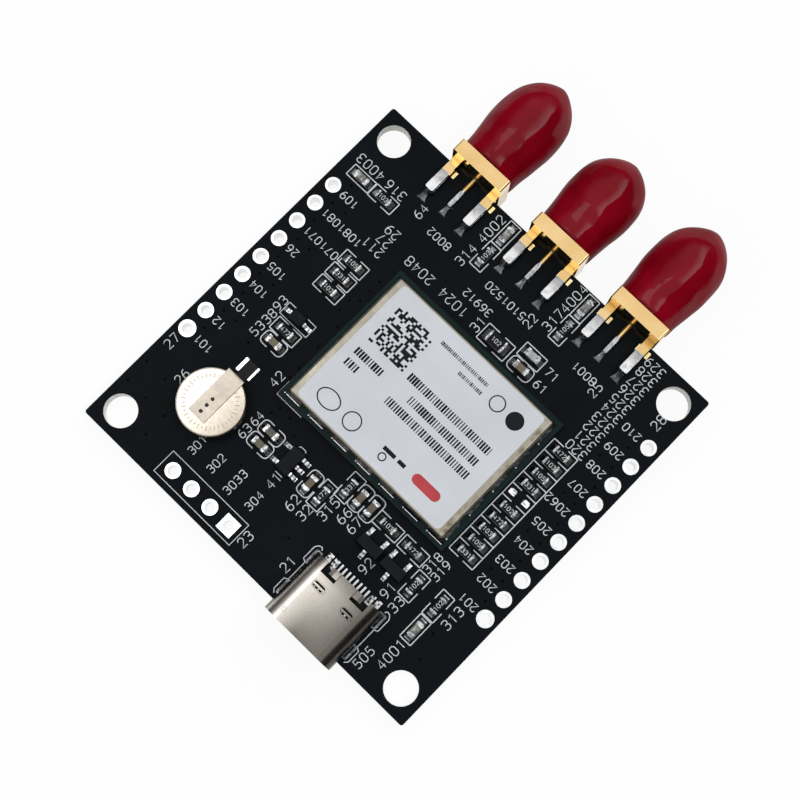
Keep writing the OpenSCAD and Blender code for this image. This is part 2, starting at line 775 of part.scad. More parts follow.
module usb_tongue() {
    pocket = 3 * port_wall;
    color("#1b1b1d") at_port() {
        difference() {
            translate([0, tail_start - block_len, port_mid]) along_y() linear_extrude(block_len)
                stadium(block_w, block_h);
            translate([0, port_len, port_h - port_wall - pocket])
                box(2 * cut_out, 2 * cut_depth, pocket + cut);
        }
        translate([0, (tongue_inset + tail_start) / 2 - block_len / 2, port_mid - tongue_t / 2])
            box(tongue_w, tail_start - tongue_inset, tongue_t);
    }
}

module contact_tail(w) {
    rise = port_mid - tongue_t;
    translate([-w / 2, tail_start, 0]) {
        cube([w, port_len - tail_start + tail_reach, contact_t]);
        cube([w, contact_t, rise]);
    }
}

module usb_contacts() {
    signal_count = 8;
    blade_count = 12;
    blade_start = tongue_inset + blade_tip;
    blade_l = tail_start - block_len - blade_room - blade_start;
    color("#d9c48a") at_port() {
        for (i = [0:signal_count - 1])
            translate([(i - (signal_count - 1) / 2) * contact_pitch, 0, 0]) contact_tail(contact_w);
        for (x = [-1, 1], p = power_tail_at)
            translate([x * p, 0, 0]) contact_tail(power_tail_w);
        for (i = [0:blade_count - 1], z = [-tongue_t / 2 - blade_t, tongue_t / 2])
            translate([(i - (blade_count - 1) / 2) * contact_pitch, blade_start + blade_l / 2, port_mid + z])
                box(contact_w, blade_l, blade_t);
    }
}

// Backup cell and its welded strips

module battery_cell() {
    can_r = cell_d / 2;
    color("#dcd6ca") translate([cell_x, cell_y, cell_base]) {
        cylinder(d = cell_lid_d, h = cell_lid_h + cell_edge_r);
        translate([0, 0, cell_lid_h]) rotate_extrude() {
            square([can_r - cell_edge_r, cell_h - cell_lid_h]);
            translate([0, cell_edge_r]) square([can_r, cell_h - cell_lid_h - 2 * cell_edge_r]);
            for (z = [cell_edge_r, cell_h - cell_lid_h - cell_edge_r])
                translate([can_r - cell_edge_r, z]) circle(cell_edge_r);
        }
    }
}

module battery_top_tab() {
    drop_y = cell_d / 2 + bore_fit;
    color("#d6d1c6") translate([cell_x, cell_y, 0])
    difference() {
        union() {
            translate([-strip_w / 2, -strip_reach, cell_top])
                cube([strip_w, strip_reach + drop_y + strip_t, strip_t]);
            translate([-foot_w / 2, drop_y, top]) {
                cube([foot_w, strip_t, cell_top + strip_t - top]);
                cube([foot_w, foot_len + strip_t, strip_t]);
            }
        }
        for (i = [0:2])
            translate([0, weld_pitch * (i - 1) - strip_reach / 4, cell_top + strip_t / 2])
                cylinder(d = weld_d, h = strip_t);
    }
}

module battery_bottom_tab() {
    color("#d6d1c6") translate([cell_x, cell_y, top]) box(strip_w, cell_lid_d, strip_t);
}

// Moulded parts with bent leads

module moulded_body(w, l) {
    mid = moulded_h / 2;
    color("#1c1d20") translate([0, 0, moulded_gap])
        hull() {
            box(w - 2 * moulded_draft, l - 2 * moulded_draft, moulded_h);
            translate([0, 0, mid - lead_t / 2]) box(w, l, lead_t);
        }
}

// Gull-wing lead that leaves its body along +Y at mid height
module bent_lead() {
    mid = moulded_gap + moulded_h / 2;
    bend = lead_reach / 3;
    translate([-lead_w / 2, 0, 0]) rotate([90, 0, 90])
        linear_extrude(lead_w) polygon([
            [0, mid + lead_t / 2], [bend, mid + lead_t / 2], [bend + lead_t, lead_t],
            [lead_reach, lead_t], [lead_reach, 0], [bend, 0], [bend - lead_t / 2, mid - lead_t / 2],
            [0, mid - lead_t / 2]]);
}

module lead_row(places, edge) {
    for (x = places)
        translate([x, edge, 0]) bent_lead();
}

module regulator_body() {
    at_place(regulator_place) moulded_body(regulator_w, regulator_l);
}

module regulator_leads() {
    color("#cfcfca") at_place(regulator_place) {
        rotate([0, 0, 90]) lead_row([-lead_pitch, lead_pitch], regulator_w / 2);
        rotate([0, 0, -90]) lead_row([-lead_pitch, 0, lead_pitch], regulator_w / 2);
    }
}

module clamp_body(i) {
    at_place(clamp_places[i - 1]) moulded_body(clamp_w, clamp_l);
}

module clamp_leads(i) {
    color("#cfcfca") at_place(clamp_places[i - 1]) {
        lead_row([-lead_pitch, lead_pitch], clamp_l / 2);
        rotate([0, 0, 180]) lead_row([0], clamp_l / 2);
    }
}

module diode_body() {
    at_place(diode_place) moulded_body(diode_w, diode_l);
}

module diode_leads() {
    color("#cfcfca") at_place(diode_place)
        for (side = [-90, 90])
            rotate([0, 0, side]) lead_row([0], diode_w / 2);
}

// Chip parts: a block between two metal ends

module ceramic_block(l, w, h) {
    translate([0, 0, end_t]) box(l - 2 * end_t, w - 2 * end_t, h - 2 * end_t);
}

// Metal ends that wrap a block on five sides
module wrapped_ends(l, w, h) {
    for (side = [-1, 1])
        difference() {
            translate([side * (l - end_l) / 2, 0, 0]) box(end_l, w, h);
            ceramic_block(l, w, h);
        }
}

// Metal ends that fold round a flat block above, below and at its end
module folded_ends(l, w, h, reach = end_l) {
    for (side = [-1, 1])
        difference() {
            translate([side * (l - reach) / 2, 0, 0]) box(reach, w, h);
            translate([0, 0, end_t]) box(l - 2 * end_t, w + 2 * cut, h - 2 * end_t);
        }
}

// Puts its children on each resistor; $l and $w give its size
module resistor_sites() {
    $l = chip_l;
    $w = chip_w;
    for (place = resistor_places)
        at_place(place) children();
    large_resistor_site() children();
}

module large_resistor_site() {
    $l = large_l;
    $w = large_w;
    at_place(large_resistor_place) children();
}

module resistor_bodies() {
    color("#e9e7e0") resistor_sites() translate([0, 0, end_t]) box($l - 2 * end_t, $w, resistor_h);
}

module resistor_coats() {
    color("#1d1f22") resistor_sites() translate([0, 0, resistor_top])
        box($l - 2 * resistor_end_l, $w, coat_t);
}

module resistor_ends() {
    color("#cfcfca") resistor_sites() folded_ends($l, $w, resistor_h + 2 * end_t, resistor_end_l);
}

module capacitor_bodies() {
    color("#9a8468")
        for (place = capacitor_places)
            at_place(place) ceramic_block(chip_l, chip_w, capacitor_h);
}

module capacitor_ends() {
    color("#cfcfca")
        for (place = capacitor_places)
            at_place(place) wrapped_ends(chip_l, chip_w, capacitor_h);
}

module inductor_body() {
    color("#8d9196") at_place(inductor_place) ceramic_block(chip_l, chip_w, inductor_h);
}

module inductor_ends() {
    color("#cfcfca") at_place(inductor_place) wrapped_ends(chip_l, chip_w, inductor_h);
}

// Indicators: a white base, a clear lens and two metal ends

module led_base(i) {
    color("#e6e4da") at_place(led_places[i - 1])
        translate([0, 0, end_t]) box(chip_l - 2 * end_t, chip_w, led_base_h);
}

module led_lens(i) {
    draft = 0.08;
    color("#f3efcf") at_place(led_places[i - 1]) translate([0, 0, end_t + led_base_h])
        hull() {
            box(chip_l - 2 * end_l, chip_w - draft, led_lens_h / 2);
            box(chip_l - 2 * end_l - 2 * draft, chip_w - 3 * draft, led_lens_h);
        }
}

module led_ends() {
    color("#d9c48a")
        for (place = led_places)
            at_place(place) folded_ends(chip_l, chip_w, led_base_h + 2 * end_t);
}

pcb();
header_pads("left");  // header_pads_left
header_pads("right");  // header_pads_right
header_pads("rear");  // header_pads_rear
module_substrate();
module_shield();
module_label();
module_solder();
receiver_chip();
reference_oscillator();
rf_filters();
for (i = JACKS) {
    jack_body(i);
    jack_insulator(i);
    jack_pin(i);
    dust_cap(i);
}
usb_shell();
usb_tongue();
usb_contacts();
battery_cell();
battery_top_tab();
battery_bottom_tab();
regulator_body();
regulator_leads();
for (i = CLAMPS) {
    clamp_body(i);
    clamp_leads(i);
}
diode_body();
diode_leads();
inductor_body();
inductor_ends();
resistor_bodies();
resistor_coats();
resistor_ends();
capacitor_bodies();
capacitor_ends();
for (i = LEDS) {
    led_base(i);
    led_lens(i);
}
led_ends();
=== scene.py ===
# %% [markdown]
# # A satellite receiver board, dressed in Blender
# The CAD model holds every solid of the board at its true size, so here it is loaded as a
# fixed frame and only dressed: finishes for its nodes, and the thin things that CAD leaves
# out, such as solder, white legend ink, threads and the print on the label. Everything is
# in metres in the CAD frame, so sizes that are easier to think of in millimetres are
# multiplied by MM.

# %% Load the frame
import math

import bmesh
import bpy
from mathutils import Matrix, Vector, noise


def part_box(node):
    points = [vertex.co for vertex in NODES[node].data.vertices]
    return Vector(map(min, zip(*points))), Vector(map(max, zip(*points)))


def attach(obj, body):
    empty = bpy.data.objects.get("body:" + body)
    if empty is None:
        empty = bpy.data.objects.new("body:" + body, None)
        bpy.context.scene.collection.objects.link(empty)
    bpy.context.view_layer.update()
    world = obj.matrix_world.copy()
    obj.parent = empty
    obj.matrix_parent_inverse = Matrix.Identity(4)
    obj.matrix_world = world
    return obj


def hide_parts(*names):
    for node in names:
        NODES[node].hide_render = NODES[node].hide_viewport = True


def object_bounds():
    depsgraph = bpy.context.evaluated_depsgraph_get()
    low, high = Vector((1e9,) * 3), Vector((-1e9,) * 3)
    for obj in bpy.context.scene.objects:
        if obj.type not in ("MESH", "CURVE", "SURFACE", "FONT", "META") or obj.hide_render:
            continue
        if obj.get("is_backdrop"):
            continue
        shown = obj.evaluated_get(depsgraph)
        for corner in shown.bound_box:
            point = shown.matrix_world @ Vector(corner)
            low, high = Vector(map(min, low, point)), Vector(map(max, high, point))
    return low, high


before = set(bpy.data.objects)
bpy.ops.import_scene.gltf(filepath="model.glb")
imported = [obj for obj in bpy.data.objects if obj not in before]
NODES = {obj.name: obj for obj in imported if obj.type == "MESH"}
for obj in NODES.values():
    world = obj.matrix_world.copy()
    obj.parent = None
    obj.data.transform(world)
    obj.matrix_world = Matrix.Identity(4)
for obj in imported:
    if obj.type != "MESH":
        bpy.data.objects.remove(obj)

MM = 0.001
SCENE = bpy.context.scene
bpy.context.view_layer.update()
board_low, board_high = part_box("pcb")
TOP = board_high.z / MM

# %% [markdown]
# ## The camera
# The photo looks almost straight down on the board, turned so that the antenna side points
# to the upper right. A camera can be aimed by trial, but a photo of a flat board with known
# hole spacings fixes it exactly: its place, the way it looks and its lens were fitted to the
# header holes, so they are written here as a place and the two directions of the picture.

# %% Camera
CAMERA_AT = Vector((15.97, -16.47, 150.06)) * MM
PICTURE_RIGHT = Vector((0.71623, 0.69787, 0.00208))
PICTURE_UP = Vector((-0.68940, 0.70707, 0.15743))
LENS_MM = 69.55
SENSOR_MM = 36.0

camera_data = bpy.data.cameras.new("photo_camera")
camera_data.lens = LENS_MM
camera_data.sensor_width = SENSOR_MM
camera_data.clip_start = 0.01
camera = bpy.data.objects.new("photo_camera", camera_data)
SCENE.collection.objects.link(camera)
towards_camera = PICTURE_RIGHT.cross(PICTURE_UP).normalized()
aim = Matrix((PICTURE_RIGHT, PICTURE_UP, towards_camera)).transposed().to_4x4()
camera.matrix_world = Matrix.Translation(CAMERA_AT) @ aim
SCENE.camera = camera
SCENE.view_settings.view_transform = "Standard"
print("Camera", round(CAMERA_AT.z / MM), "mm above the underside, lens", LENS_MM)

# %% [markdown]
# ## A helper for node trees
# World, materials and Geometry Nodes are all trees of nodes, and wiring them link by link
# hides what they do. This helper adds one node and fills its inputs: a plain value is set on
# the socket, and another node's output is linked to it. Inputs come in order or by name, with
# None for one that keeps its value, and words in small letters are settings of the node.

# %% Node helper


def node(tree, kind, *values, **named):
    """Adds a node to a tree and fills its inputs."""
    made = tree.nodes.new(kind)
    for label, value in named.items():
        if label.islower():
            setattr(made, label, value)
    filled = list(zip(made.inputs, values))
    for label, value in named.items():
        if not label.islower():
            filled.append((made.inputs[label.replace("_", " ")], value))
    for socket, value in filled:
        if isinstance(value, bpy.types.NodeSocket):
            tree.links.new(value, socket)
        elif value is not None:
            socket.default_value = value
    return made


def calc(tree, operation, *values):
    """Result of one sum on values."""
    return node(tree, "ShaderNodeMath", *values, operation=operation).outputs[0]


def times(tree, product, *others):
    """Product of several values or masks."""
    for other in others:
        product = calc(tree, "MULTIPLY", product, other)
    return product


def light_path_mask(tree, rays):
    """Puts out 1 for any of the named kinds of ray."""
    path = node(tree, "ShaderNodeLightPath")
    mask = path.outputs[rays[0]]
    for ray in rays[1:]:
        mask = calc(tree, "MAXIMUM", mask, path.outputs[ray])
    return mask


print("Helpers:", [helper.__name__ for helper in (node, calc, times, light_path_mask)])

# %% [markdown]
# ## The overhead panel
# A product photo like this is lit by a large soft panel overhead. A ring of lamps would show
# as spots in bright metal, so here the world itself is the panel. It fades out to the left, and
# grows brighter to its right edge, which the dust caps mirror as a ridge of light. Flat
# tops get a clean shine, and slanted solder stays dark, as in the photo. Each limit is a step
# between two values of the direction that a ray looks in.

# %% World
PANEL_LIGHT = 1.0
EDGE_LIGHT = 3.5
DARK_LIGHT = 0.09
PANEL_UP = (0.2, 0.7)
PANEL_LEFT = (-0.95, -0.4)
PANEL_RIGHT = (-0.03, 0.0)
EDGE_ACROSS = (0.6, 0.0)
EDGE_AHEAD = (0.0, 0.15)
RIGHT_LEAN = (-1.0, 0.0, 0.65)
WHITE = (1.0, 1.0, 1.0, 1.0)


def direction_step(tree, axis, limits):
    """Rises from 0 to 1 between two values of the ray's direction along an axis."""
    way = node(tree, "ShaderNodeTexCoord").outputs["Generated"]
    along = node(tree, "ShaderNodeVectorMath", way, axis, operation="DOT_PRODUCT")
    step = node(tree, "ShaderNodeMapRange", along.outputs["Value"], *limits, interpolation_type="SMOOTHSTEP")
    return step.outputs["Result"]


def studio_world():
    """A bright panel overhead, dark elsewhere, and white to the camera."""
    world = bpy.data.worlds.new("studio")
    world.use_nodes = True
    tree = world.node_tree
    panel = times(tree, direction_step(tree, (0.0, 0.0, 1.0), PANEL_UP),
                  direction_step(tree, RIGHT_LEAN, PANEL_RIGHT),
                  direction_step(tree, (1.0, 0.0, 0.0), PANEL_LEFT))
    edge = times(tree, direction_step(tree, RIGHT_LEAN, EDGE_ACROSS),
                 direction_step(tree, (0.0, 1.0, 0.0), EDGE_AHEAD))
    bright = node(tree, "ShaderNodeMapRange", edge, To_Min=PANEL_LIGHT, To_Max=PANEL_LIGHT + EDGE_LIGHT)
    level = node(tree, "ShaderNodeMapRange", panel, To_Min=DARK_LIGHT, To_Max=bright.outputs["Result"])
    lit = tree.nodes["Background"]
    lit.inputs["Color"].default_value = WHITE
    tree.links.new(level.outputs["Result"], lit.inputs["Strength"])
    plain = node(tree, "ShaderNodeBackground", Color=WHITE)
    rays = light_path_mask(tree, ["Is Camera Ray", "Is Transmission Ray"])
    mix = node(tree, "ShaderNodeMixShader", rays, lit.outputs[0], plain.outputs[0])
    tree.links.new(mix.outputs[0], tree.nodes["World Output"].inputs["Surface"])
    SCENE.world = world
    return len(tree.nodes)


print("World of", studio_world(), "nodes")

# %% [markdown]
# ## The softbox
# The panel alone would light everything alike. One broad area lamp, off to the rear left,
# gives the light a direction: the cell and the left pads mirror it and turn brightest.

# %% Softbox
SOFTBOX_WATTS = 0.7
SOFTBOX_SIDE = 0.34
SOFTBOX_FROM = Vector((-0.24, -0.08, 0.76))

lamp = bpy.data.lights.new("softbox", "AREA")
lamp.energy = SOFTBOX_WATTS
lamp.size = SOFTBOX_SIDE
softbox = bpy.data.objects.new("softbox", lamp)
softbox.location = SOFTBOX_FROM
softbox.rotation_euler = (-SOFTBOX_FROM).to_track_quat("-Z", "Y").to_euler()
SCENE.collection.objects.link(softbox)
print("Softbox at", round(SOFTBOX_FROM.length, 2), "m")

# %% [markdown]
# ## The floor
# The board rests on the bellies of its dust caps and on its rear edge, so the floor is a
# plane through those, and the board leans on it. A white photo table can be a bright plane,
# but more light on it would also light the object. So the floor is white only to the camera
# and to mirrors, and keeps a little of the shadow that its own shader shows.

# %% Floor
CAP_BELLY_FROM = 5.4
FLOOR_HALF = 2.0
FLOOR_GAP = 0.05 * MM
FLOOR_TONE = (0.9, 0.9, 0.9, 1.0)
FLOOR_ROUGH = 0.9
SHADOW_KEPT = 0.08


def floor_material():
    """Pale floor that is white to the camera and to mirrors but still shows a shadow."""
    mat = bpy.data.materials.new("pale_floor")
    mat.use_nodes = True
    tree = mat.node_tree
    shader = tree.nodes["Principled BSDF"]
    shader.inputs["Base Color"].default_value = FLOOR_TONE
    shader.inputs["Roughness"].default_value = FLOOR_ROUGH
    glow = node(tree, "ShaderNodeEmission", Color=WHITE)
    rays = light_path_mask(tree, ["Is Camera Ray", "Is Glossy Ray", "Is Transmission Ray"])
    white = times(tree, rays, 1.0 - SHADOW_KEPT)
    mix = node(tree, "ShaderNodeMixShader", white, shader.outputs[0], glow.outputs[0])
    tree.links.new(mix.outputs[0], tree.nodes["Material Output"].inputs["Surface"])
    return mat


cap_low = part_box("dust_cap_1")[0]
slope = (cap_low.z - board_low.z) / (cap_low.y + CAP_BELLY_FROM * MM - board_low.y)
corners = []
for x, y in ((-1, -1), (1, -1), (1, 1), (-1, 1)):
    rise = slope * (y * FLOOR_HALF - board_low.y)
    corners.append((x * FLOOR_HALF, y * FLOOR_HALF, board_low.z + rise - FLOOR_GAP))
floor_mesh = bpy.data.meshes.new("floor")
floor_mesh.from_pydata(corners, [], [(0, 1, 2, 3)])
floor_mesh.materials.append(floor_material())
floor = bpy.data.objects.new("floor", floor_mesh)
SCENE.collection.objects.link(floor)
floor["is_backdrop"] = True
print("The board leans", round(-math.degrees(math.atan(slope)), 2), "degrees on its caps")

# %% [markdown]
# ## Shared effects: uneven, brushed, per part
# Real surfaces are never one flat colour: plating has dull patches, plastic has a fine
# grain. The same few effects serve most materials here, so each is a shader node group that
# is built once. "uneven" spreads a soft noise of a given size between two values, "brushed"
# stretches that noise along one direction, and "per_part" gives each small part its own
# value, as parts from different reels have.

# %% Noise groups
NOISE_SPAN = (0.3, 0.7)
BRUSH_STRETCH = (1.0, 0.06, 1.0)


def shader_group(name, **inputs):
    """Starts a shader group with these inputs and one output, Value."""
    group = bpy.data.node_groups.new(name, "ShaderNodeTree")
    for label, value in inputs.items():
        kind = "NodeSocketVector" if isinstance(value, tuple) else "NodeSocketFloat"
        group.interface.new_socket(label, in_out="INPUT", socket_type=kind).default_value = value
    group.interface.new_socket("Value", in_out="OUTPUT", socket_type="NodeSocketFloat")
    return group, group.nodes.new("NodeGroupInput").outputs


def put_out(group, value):
    """Ends a shader group with its value."""
    node(group, "NodeGroupOutput", Value=value)
    return group


def spread(group, given, source):
    """Maps a noise onto the group's Low..High and puts it out."""
    reach = node(group, "ShaderNodeMapRange", source, *NOISE_SPAN, given["Low"], given["High"])
    return put_out(group, reach.outputs["Result"])


def size_to_scale(group, given):
    """Turns a feature size in millimetres into a texture scale per metre."""
    return calc(group, "DIVIDE", 1.0 / MM, given["Size"])


def uneven_group():
    group, given = shader_group("uneven", Size=1.0, Low=0.0, High=1.0, Detail=3.0)
    place = node(group, "ShaderNodeTexCoord").outputs["Object"]
    scale = size_to_scale(group, given)
    cloud = node(group, "ShaderNodeTexNoise", Vector=place, Scale=scale, Detail=given["Detail"])
    return spread(group, given, cloud.outputs["Fac"])


def brushed_group():
    group, given = shader_group("brushed", Size=0.1, Low=0.0, High=1.0)
    place = node(group, "ShaderNodeTexCoord").outputs["Object"]
    stretch = node(group, "ShaderNodeMapping", Vector=place, Scale=BRUSH_STRETCH)
    scale = size_to_scale(group, given)
    lines = node(group, "ShaderNodeTexNoise", Vector=stretch.outputs["Vector"], Scale=scale, Detail=4.0)
    return spread(group, given, lines.outputs["Fac"])


def per_part_group():
    group, given = shader_group("per_part", Size=1.6, Low=0.0, High=1.0)
    place = node(group, "ShaderNodeTexCoord").outputs["Object"]
    scale = size_to_scale(group, given)
    cells = node(group, "ShaderNodeTexVoronoi", Vector=place, Scale=scale, Randomness=0.0)
    split = node(group, "ShaderNodeSeparateColor", Color=cells.outputs["Color"])
    return spread(group, given, split.outputs["Red"])


UNEVEN = uneven_group()
BRUSHED = brushed_group()
PER_PART = per_part_group()
print("Noise groups:", [group.name for group in (UNEVEN, BRUSHED, PER_PART)])

# %% [markdown]
# ## Shared effects: where a finish changes
# Several finishes change along the object: gold turns to solder past a line, a cut edge
# shows the laminate. Painting masks by hand would need a map for each piece. "past_edge"
# instead goes from one value to another where an axis passes an edge, with a ragged front,
# and "upright" is 1 on faces that stand, such as a cut edge or a hole's wall.

# %% Mask groups
AXES = {"X": (1.0, 0.0, 0.0), "Y": (0.0, 1.0, 0.0), "Z": (0.0, 0.0, 1.0)}
RAGGED_SIZE = 0.4
UPRIGHT_BELOW = 0.5


def place_group(tree, group, **values):
    """Places a shader group in a tree with its own values."""
    made = node(tree, "ShaderNodeGroup", node_tree=group, **values)
    return made.outputs["Value"]


def past_edge_group():
    group, given = shader_group("past_edge", Axis=AXES["X"], Edge=0.0, Soft=0.1, Ragged=0.05,
                                Before=0.0, After=1.0)
    place = node(group, "ShaderNodeTexCoord").outputs["Object"]
    along = node(group, "ShaderNodeVectorMath", place, given["Axis"], operation="DOT_PRODUCT")
    inwards = times(group, given["Ragged"], -1.0)
    wobble = place_group(group, UNEVEN, Size=RAGGED_SIZE, Low=inwards, High=given["Ragged"])
    front = calc(group, "MULTIPLY_ADD", along.outputs["Value"], 1.0 / MM, wobble)
    begin = calc(group, "SUBTRACT", given["Edge"], given["Soft"])
    full = calc(group, "ADD", given["Edge"], given["Soft"])
    step = node(group, "ShaderNodeMapRange", front, begin, full, given["Before"], given["After"])
    return put_out(group, step.outputs["Result"])


def upright_group():
    group, _ = shader_group("upright")
    facing = node(group, "ShaderNodeNewGeometry").outputs["Normal"]
    level = node(group, "ShaderNodeSeparateXYZ", facing).outputs["Z"]
    flat = calc(group, "ABSOLUTE", level)
    return put_out(group, calc(group, "LESS_THAN", flat, UPRIGHT_BELOW))


PAST_EDGE = past_edge_group()
UPRIGHT = upright_group()


def past(axis, edge, soft, ragged=0.05, amount=1.0):
    """Mask that sets in past an edge, in millimetres along an axis."""
    return PAST_EDGE, dict(Axis=AXES[axis], Edge=edge, Soft=soft, Ragged=ragged, Before=0.0, After=amount)


def short_of(axis, edge, soft, ragged=0.05):
    """Mask that ends at an edge."""
    return PAST_EDGE, dict(Axis=AXES[axis], Edge=edge, Soft=soft, Ragged=ragged, Before=1.0, After=0.0)


def patches(size, low, high):
    """Mask of soft patches."""
    return UNEVEN, dict(Size=size, Low=low, High=high)


STANDING = (UPRIGHT, {})
print("Mask groups:", [group.name for group in (PAST_EDGE, UPRIGHT)])

# %% [markdown]
# ## How a finish is built
# Each finish is a Principled shader whose colour drifts between tones, whose roughness
# drifts between two values, and whose bump comes from a fine grain. One function wires that,
# and the tones are given as they look in the photo, from 0 to 255, then turned into the
# linear values that Blender mixes. Constant values, such as Metallic, are set on the
# shader's own sockets so that they survive an export. An overlay lays a second tone over a
# finish where all its masks are 1.

# %% Finish builder
DULL_PER_GRAIN = 4


def seen(*levels):
    """A colour as seen on a screen, as the linear colour that a shader needs."""
    linear = []
    for level in levels:
        v = level / 255.0
        linear.append(v / 12.92 if v < 0.04 else ((v + 0.055) / 1.055) ** 2.4)
    return (*linear, 1.0)


def finish(name, tones, rough, drift, grain, relief,
           tone_group=UNEVEN, grain_group=UNEVEN, grain_values=None, **sockets):
    """A material with drifting tone and roughness and a fine grain; sizes in millimetres."""
    mat = bpy.data.materials.new(name)
    mat.use_nodes = True
    tree = mat.node_tree
    shader = tree.nodes["Principled BSDF"]
    ramp = node(tree, "ShaderNodeValToRGB", place_group(tree, tone_group, Size=drift))
    stops = ramp.color_ramp.elements
    for _ in tones[2:]:
        stops.new(0.5)
    for k, tone in enumerate(tones):
        stops[k].position = k / (len(tones) - 1)
        stops[k].color = seen(*tone)
    dull = place_group(tree, UNEVEN, Size=DULL_PER_GRAIN * grain, Low=rough[0], High=rough[1])
    grit = place_group(tree, grain_group, Size=grain, **(grain_values or {}))
    bump = node(tree, "ShaderNodeBump", Distance=relief * MM, Height=grit)
    tree.links.new(ramp.outputs["Color"], shader.inputs["Base Color"])
    tree.links.new(dull, shader.inputs["Roughness"])
    tree.links.new(bump.outputs["Normal"], shader.inputs["Normal"])
    for label, value in sockets.items():
        shader.inputs[label.replace("_", " ")].default_value = value
    return mat


def overlay(mat, tone, *masks):
    """Lays a second tone over a finish where all the masks are 1."""
    tree = mat.node_tree
    colour = tree.nodes["Principled BSDF"].inputs["Base Color"]
    where = times(tree, *[place_group(tree, group, **values) for group, values in masks])
    mix = node(tree, "ShaderNodeMix", where, data_type="RGBA")
    tree.links.new(colour.links[0].from_socket, mix.inputs[6])
    mix.inputs[7].default_value = seen(*tone)
    tree.links.new(mix.outputs[2], colour)


print("A mid grey of 128 is", round(seen(128, 128, 128)[0], 3), "in linear light")

# %% [markdown]
# ## Varnish of the two boards
# The solder mask is a thin satin varnish, so it reflects little. Along the outer edge the
# board was cut and shows the brown of its glass laminate, while the drilled walls of the
# corner holes are pale with bare fibre. Both are upright faces, told apart by their distance
# from the middle.

# %% Board finishes
BOARD_INSIDE = 21.3

mask_black = finish("board_mask", [(6, 10, 14), (10, 15, 20)],
                    rough=(0.4, 0.5), drift=9.0, grain=0.12, relief=0.001, Specular_IOR_Level=0.05)
overlay(mask_black, (38, 34, 26), STANDING)
overlay(mask_black, (240, 240, 236), STANDING,
        short_of("X", BOARD_INSIDE, 0.02, 0.0), past("X", -BOARD_INSIDE, 0.02, 0.0),
        short_of("Y", BOARD_INSIDE, 0.02, 0.0), past("Y", -BOARD_INSIDE, 0.02, 0.0))
mask_green = finish("module_mask", [(5, 26, 26), (9, 34, 32)],
                    rough=(0.3, 0.42), drift=4.0, grain=0.1, relief=0.001, Specular_IOR_Level=0.1)
print("Varnishes:", mask_black.name, mask_green.name)

# %% [markdown]
# ## Tin and solder
# The pads are flat tin and shine evenly. Chip ends and leads are small and bent, so they
# mirror the panel in bits: a strong noise between dark and white is painted in for those
# glints and dark reflections. Solder is smoother still, and where it slopes away from the
# panel it is made darker, as painted shade.

# %% Tin and solder
tin = finish("tin", [(222, 223, 224), (240, 241, 240)],
             rough=(0.2, 0.32), drift=0.8, grain=0.4, relief=0.002, Metallic=1.0)
# Painted glints and dark reflections: a strong noise between dark and white.
tin_painted_glints = finish("tin_painted_glints", [(56, 57, 59), (168, 169, 171), (238, 238, 238)],
                     rough=(0.16, 0.3), drift=0.3, grain=0.2, relief=0.006, Metallic=1.0)
solder = finish("solder", [(150, 152, 155), (214, 215, 216)],
                rough=(0.06, 0.16), drift=0.5, grain=0.4, relief=0.012, Metallic=1.0)
# Painted shade for solder that slopes away from the panel or lies in shade.
solder_dark = finish("solder_dark", [(58, 60, 64), (132, 134, 138)],
                     rough=(0.08, 0.2), drift=0.45, grain=0.35, relief=0.02, Metallic=1.0)
print("Solder finishes:", [mat.name for mat in (tin, tin_painted_glints, solder, solder_dark)])

# %% [markdown]
# ## Gold of the jacks
# Jack bodies, pins and lands are gold over nickel. On the legs and the pin the gold gives
# way to solder at a ragged line across them. That solder is bright at a leg's tip, with some
# grey smears, and duller towards the gold, and next to the flange the legs stay in its shade.
# Overlays on one gold each are enough, so the legs need no pieces of their own.

# %% Gold finishes
LEG_SOLDER_TO = 20.15
LEG_DULL_FROM = 19.3
SHADE_FROM = 21.2
SHADE_BELOW = 3.1

gold = finish("gold", [(234, 214, 158), (246, 232, 186)],
              rough=(0.2, 0.36), drift=2.5, grain=0.12, relief=0.001, Metallic=1.0)
jack_gold = finish("jack_gold", [(231, 193, 130), (243, 210, 152)],
                   rough=(0.1, 0.18), drift=3.0, grain=0.8, relief=0.001, Metallic=1.0)
soldered = short_of("Y", LEG_SOLDER_TO, 0.05)
overlay(jack_gold, (238, 238, 238), soldered)
overlay(jack_gold, (196, 166, 106), past("Y", SHADE_FROM, 0.4), short_of("Z", SHADE_BELOW, 0.1, 0.0))
overlay(jack_gold, (140, 141, 144), patches(0.9, -0.6, 0.6), soldered)
overlay(jack_gold, (150, 150, 153), past("Y", LEG_DULL_FROM, 0.9, 0.3), soldered)
pin_gold = finish("pin_gold", [(224, 186, 110), (244, 214, 144)],
                  rough=(0.32, 0.44), drift=1.2, grain=0.4, relief=0.001, Metallic=1.0)
overlay(pin_gold, (196, 197, 200), short_of("Y", LEG_SOLDER_TO, 0.2, 0.2))
print("Gold finishes:", [mat.name for mat in (gold, jack_gold, pin_gold)])

# %% [markdown]
# ## Metal of the port
# The shell is drawn from bright sheet and plated with nickel. Its shine falls off to the right,
# to the front and to the rear, and that fall is laid over the flat nickel as soft darker tones
# of painted shade. The side walls and what lies below the roof, the bent tabs and the inside,
# are darker too, as painted shade. The contacts are gold in front and tinned from the bend
# back, where dark patches are painted on as broken reflections, strongest on the outer ones.

# %% Port finishes
PORT_X = 8.73
CUT_HALF = 2.8
TAIL_TIN_FROM = -18.6
OUTER_TAILS = (6.7, 10.8)

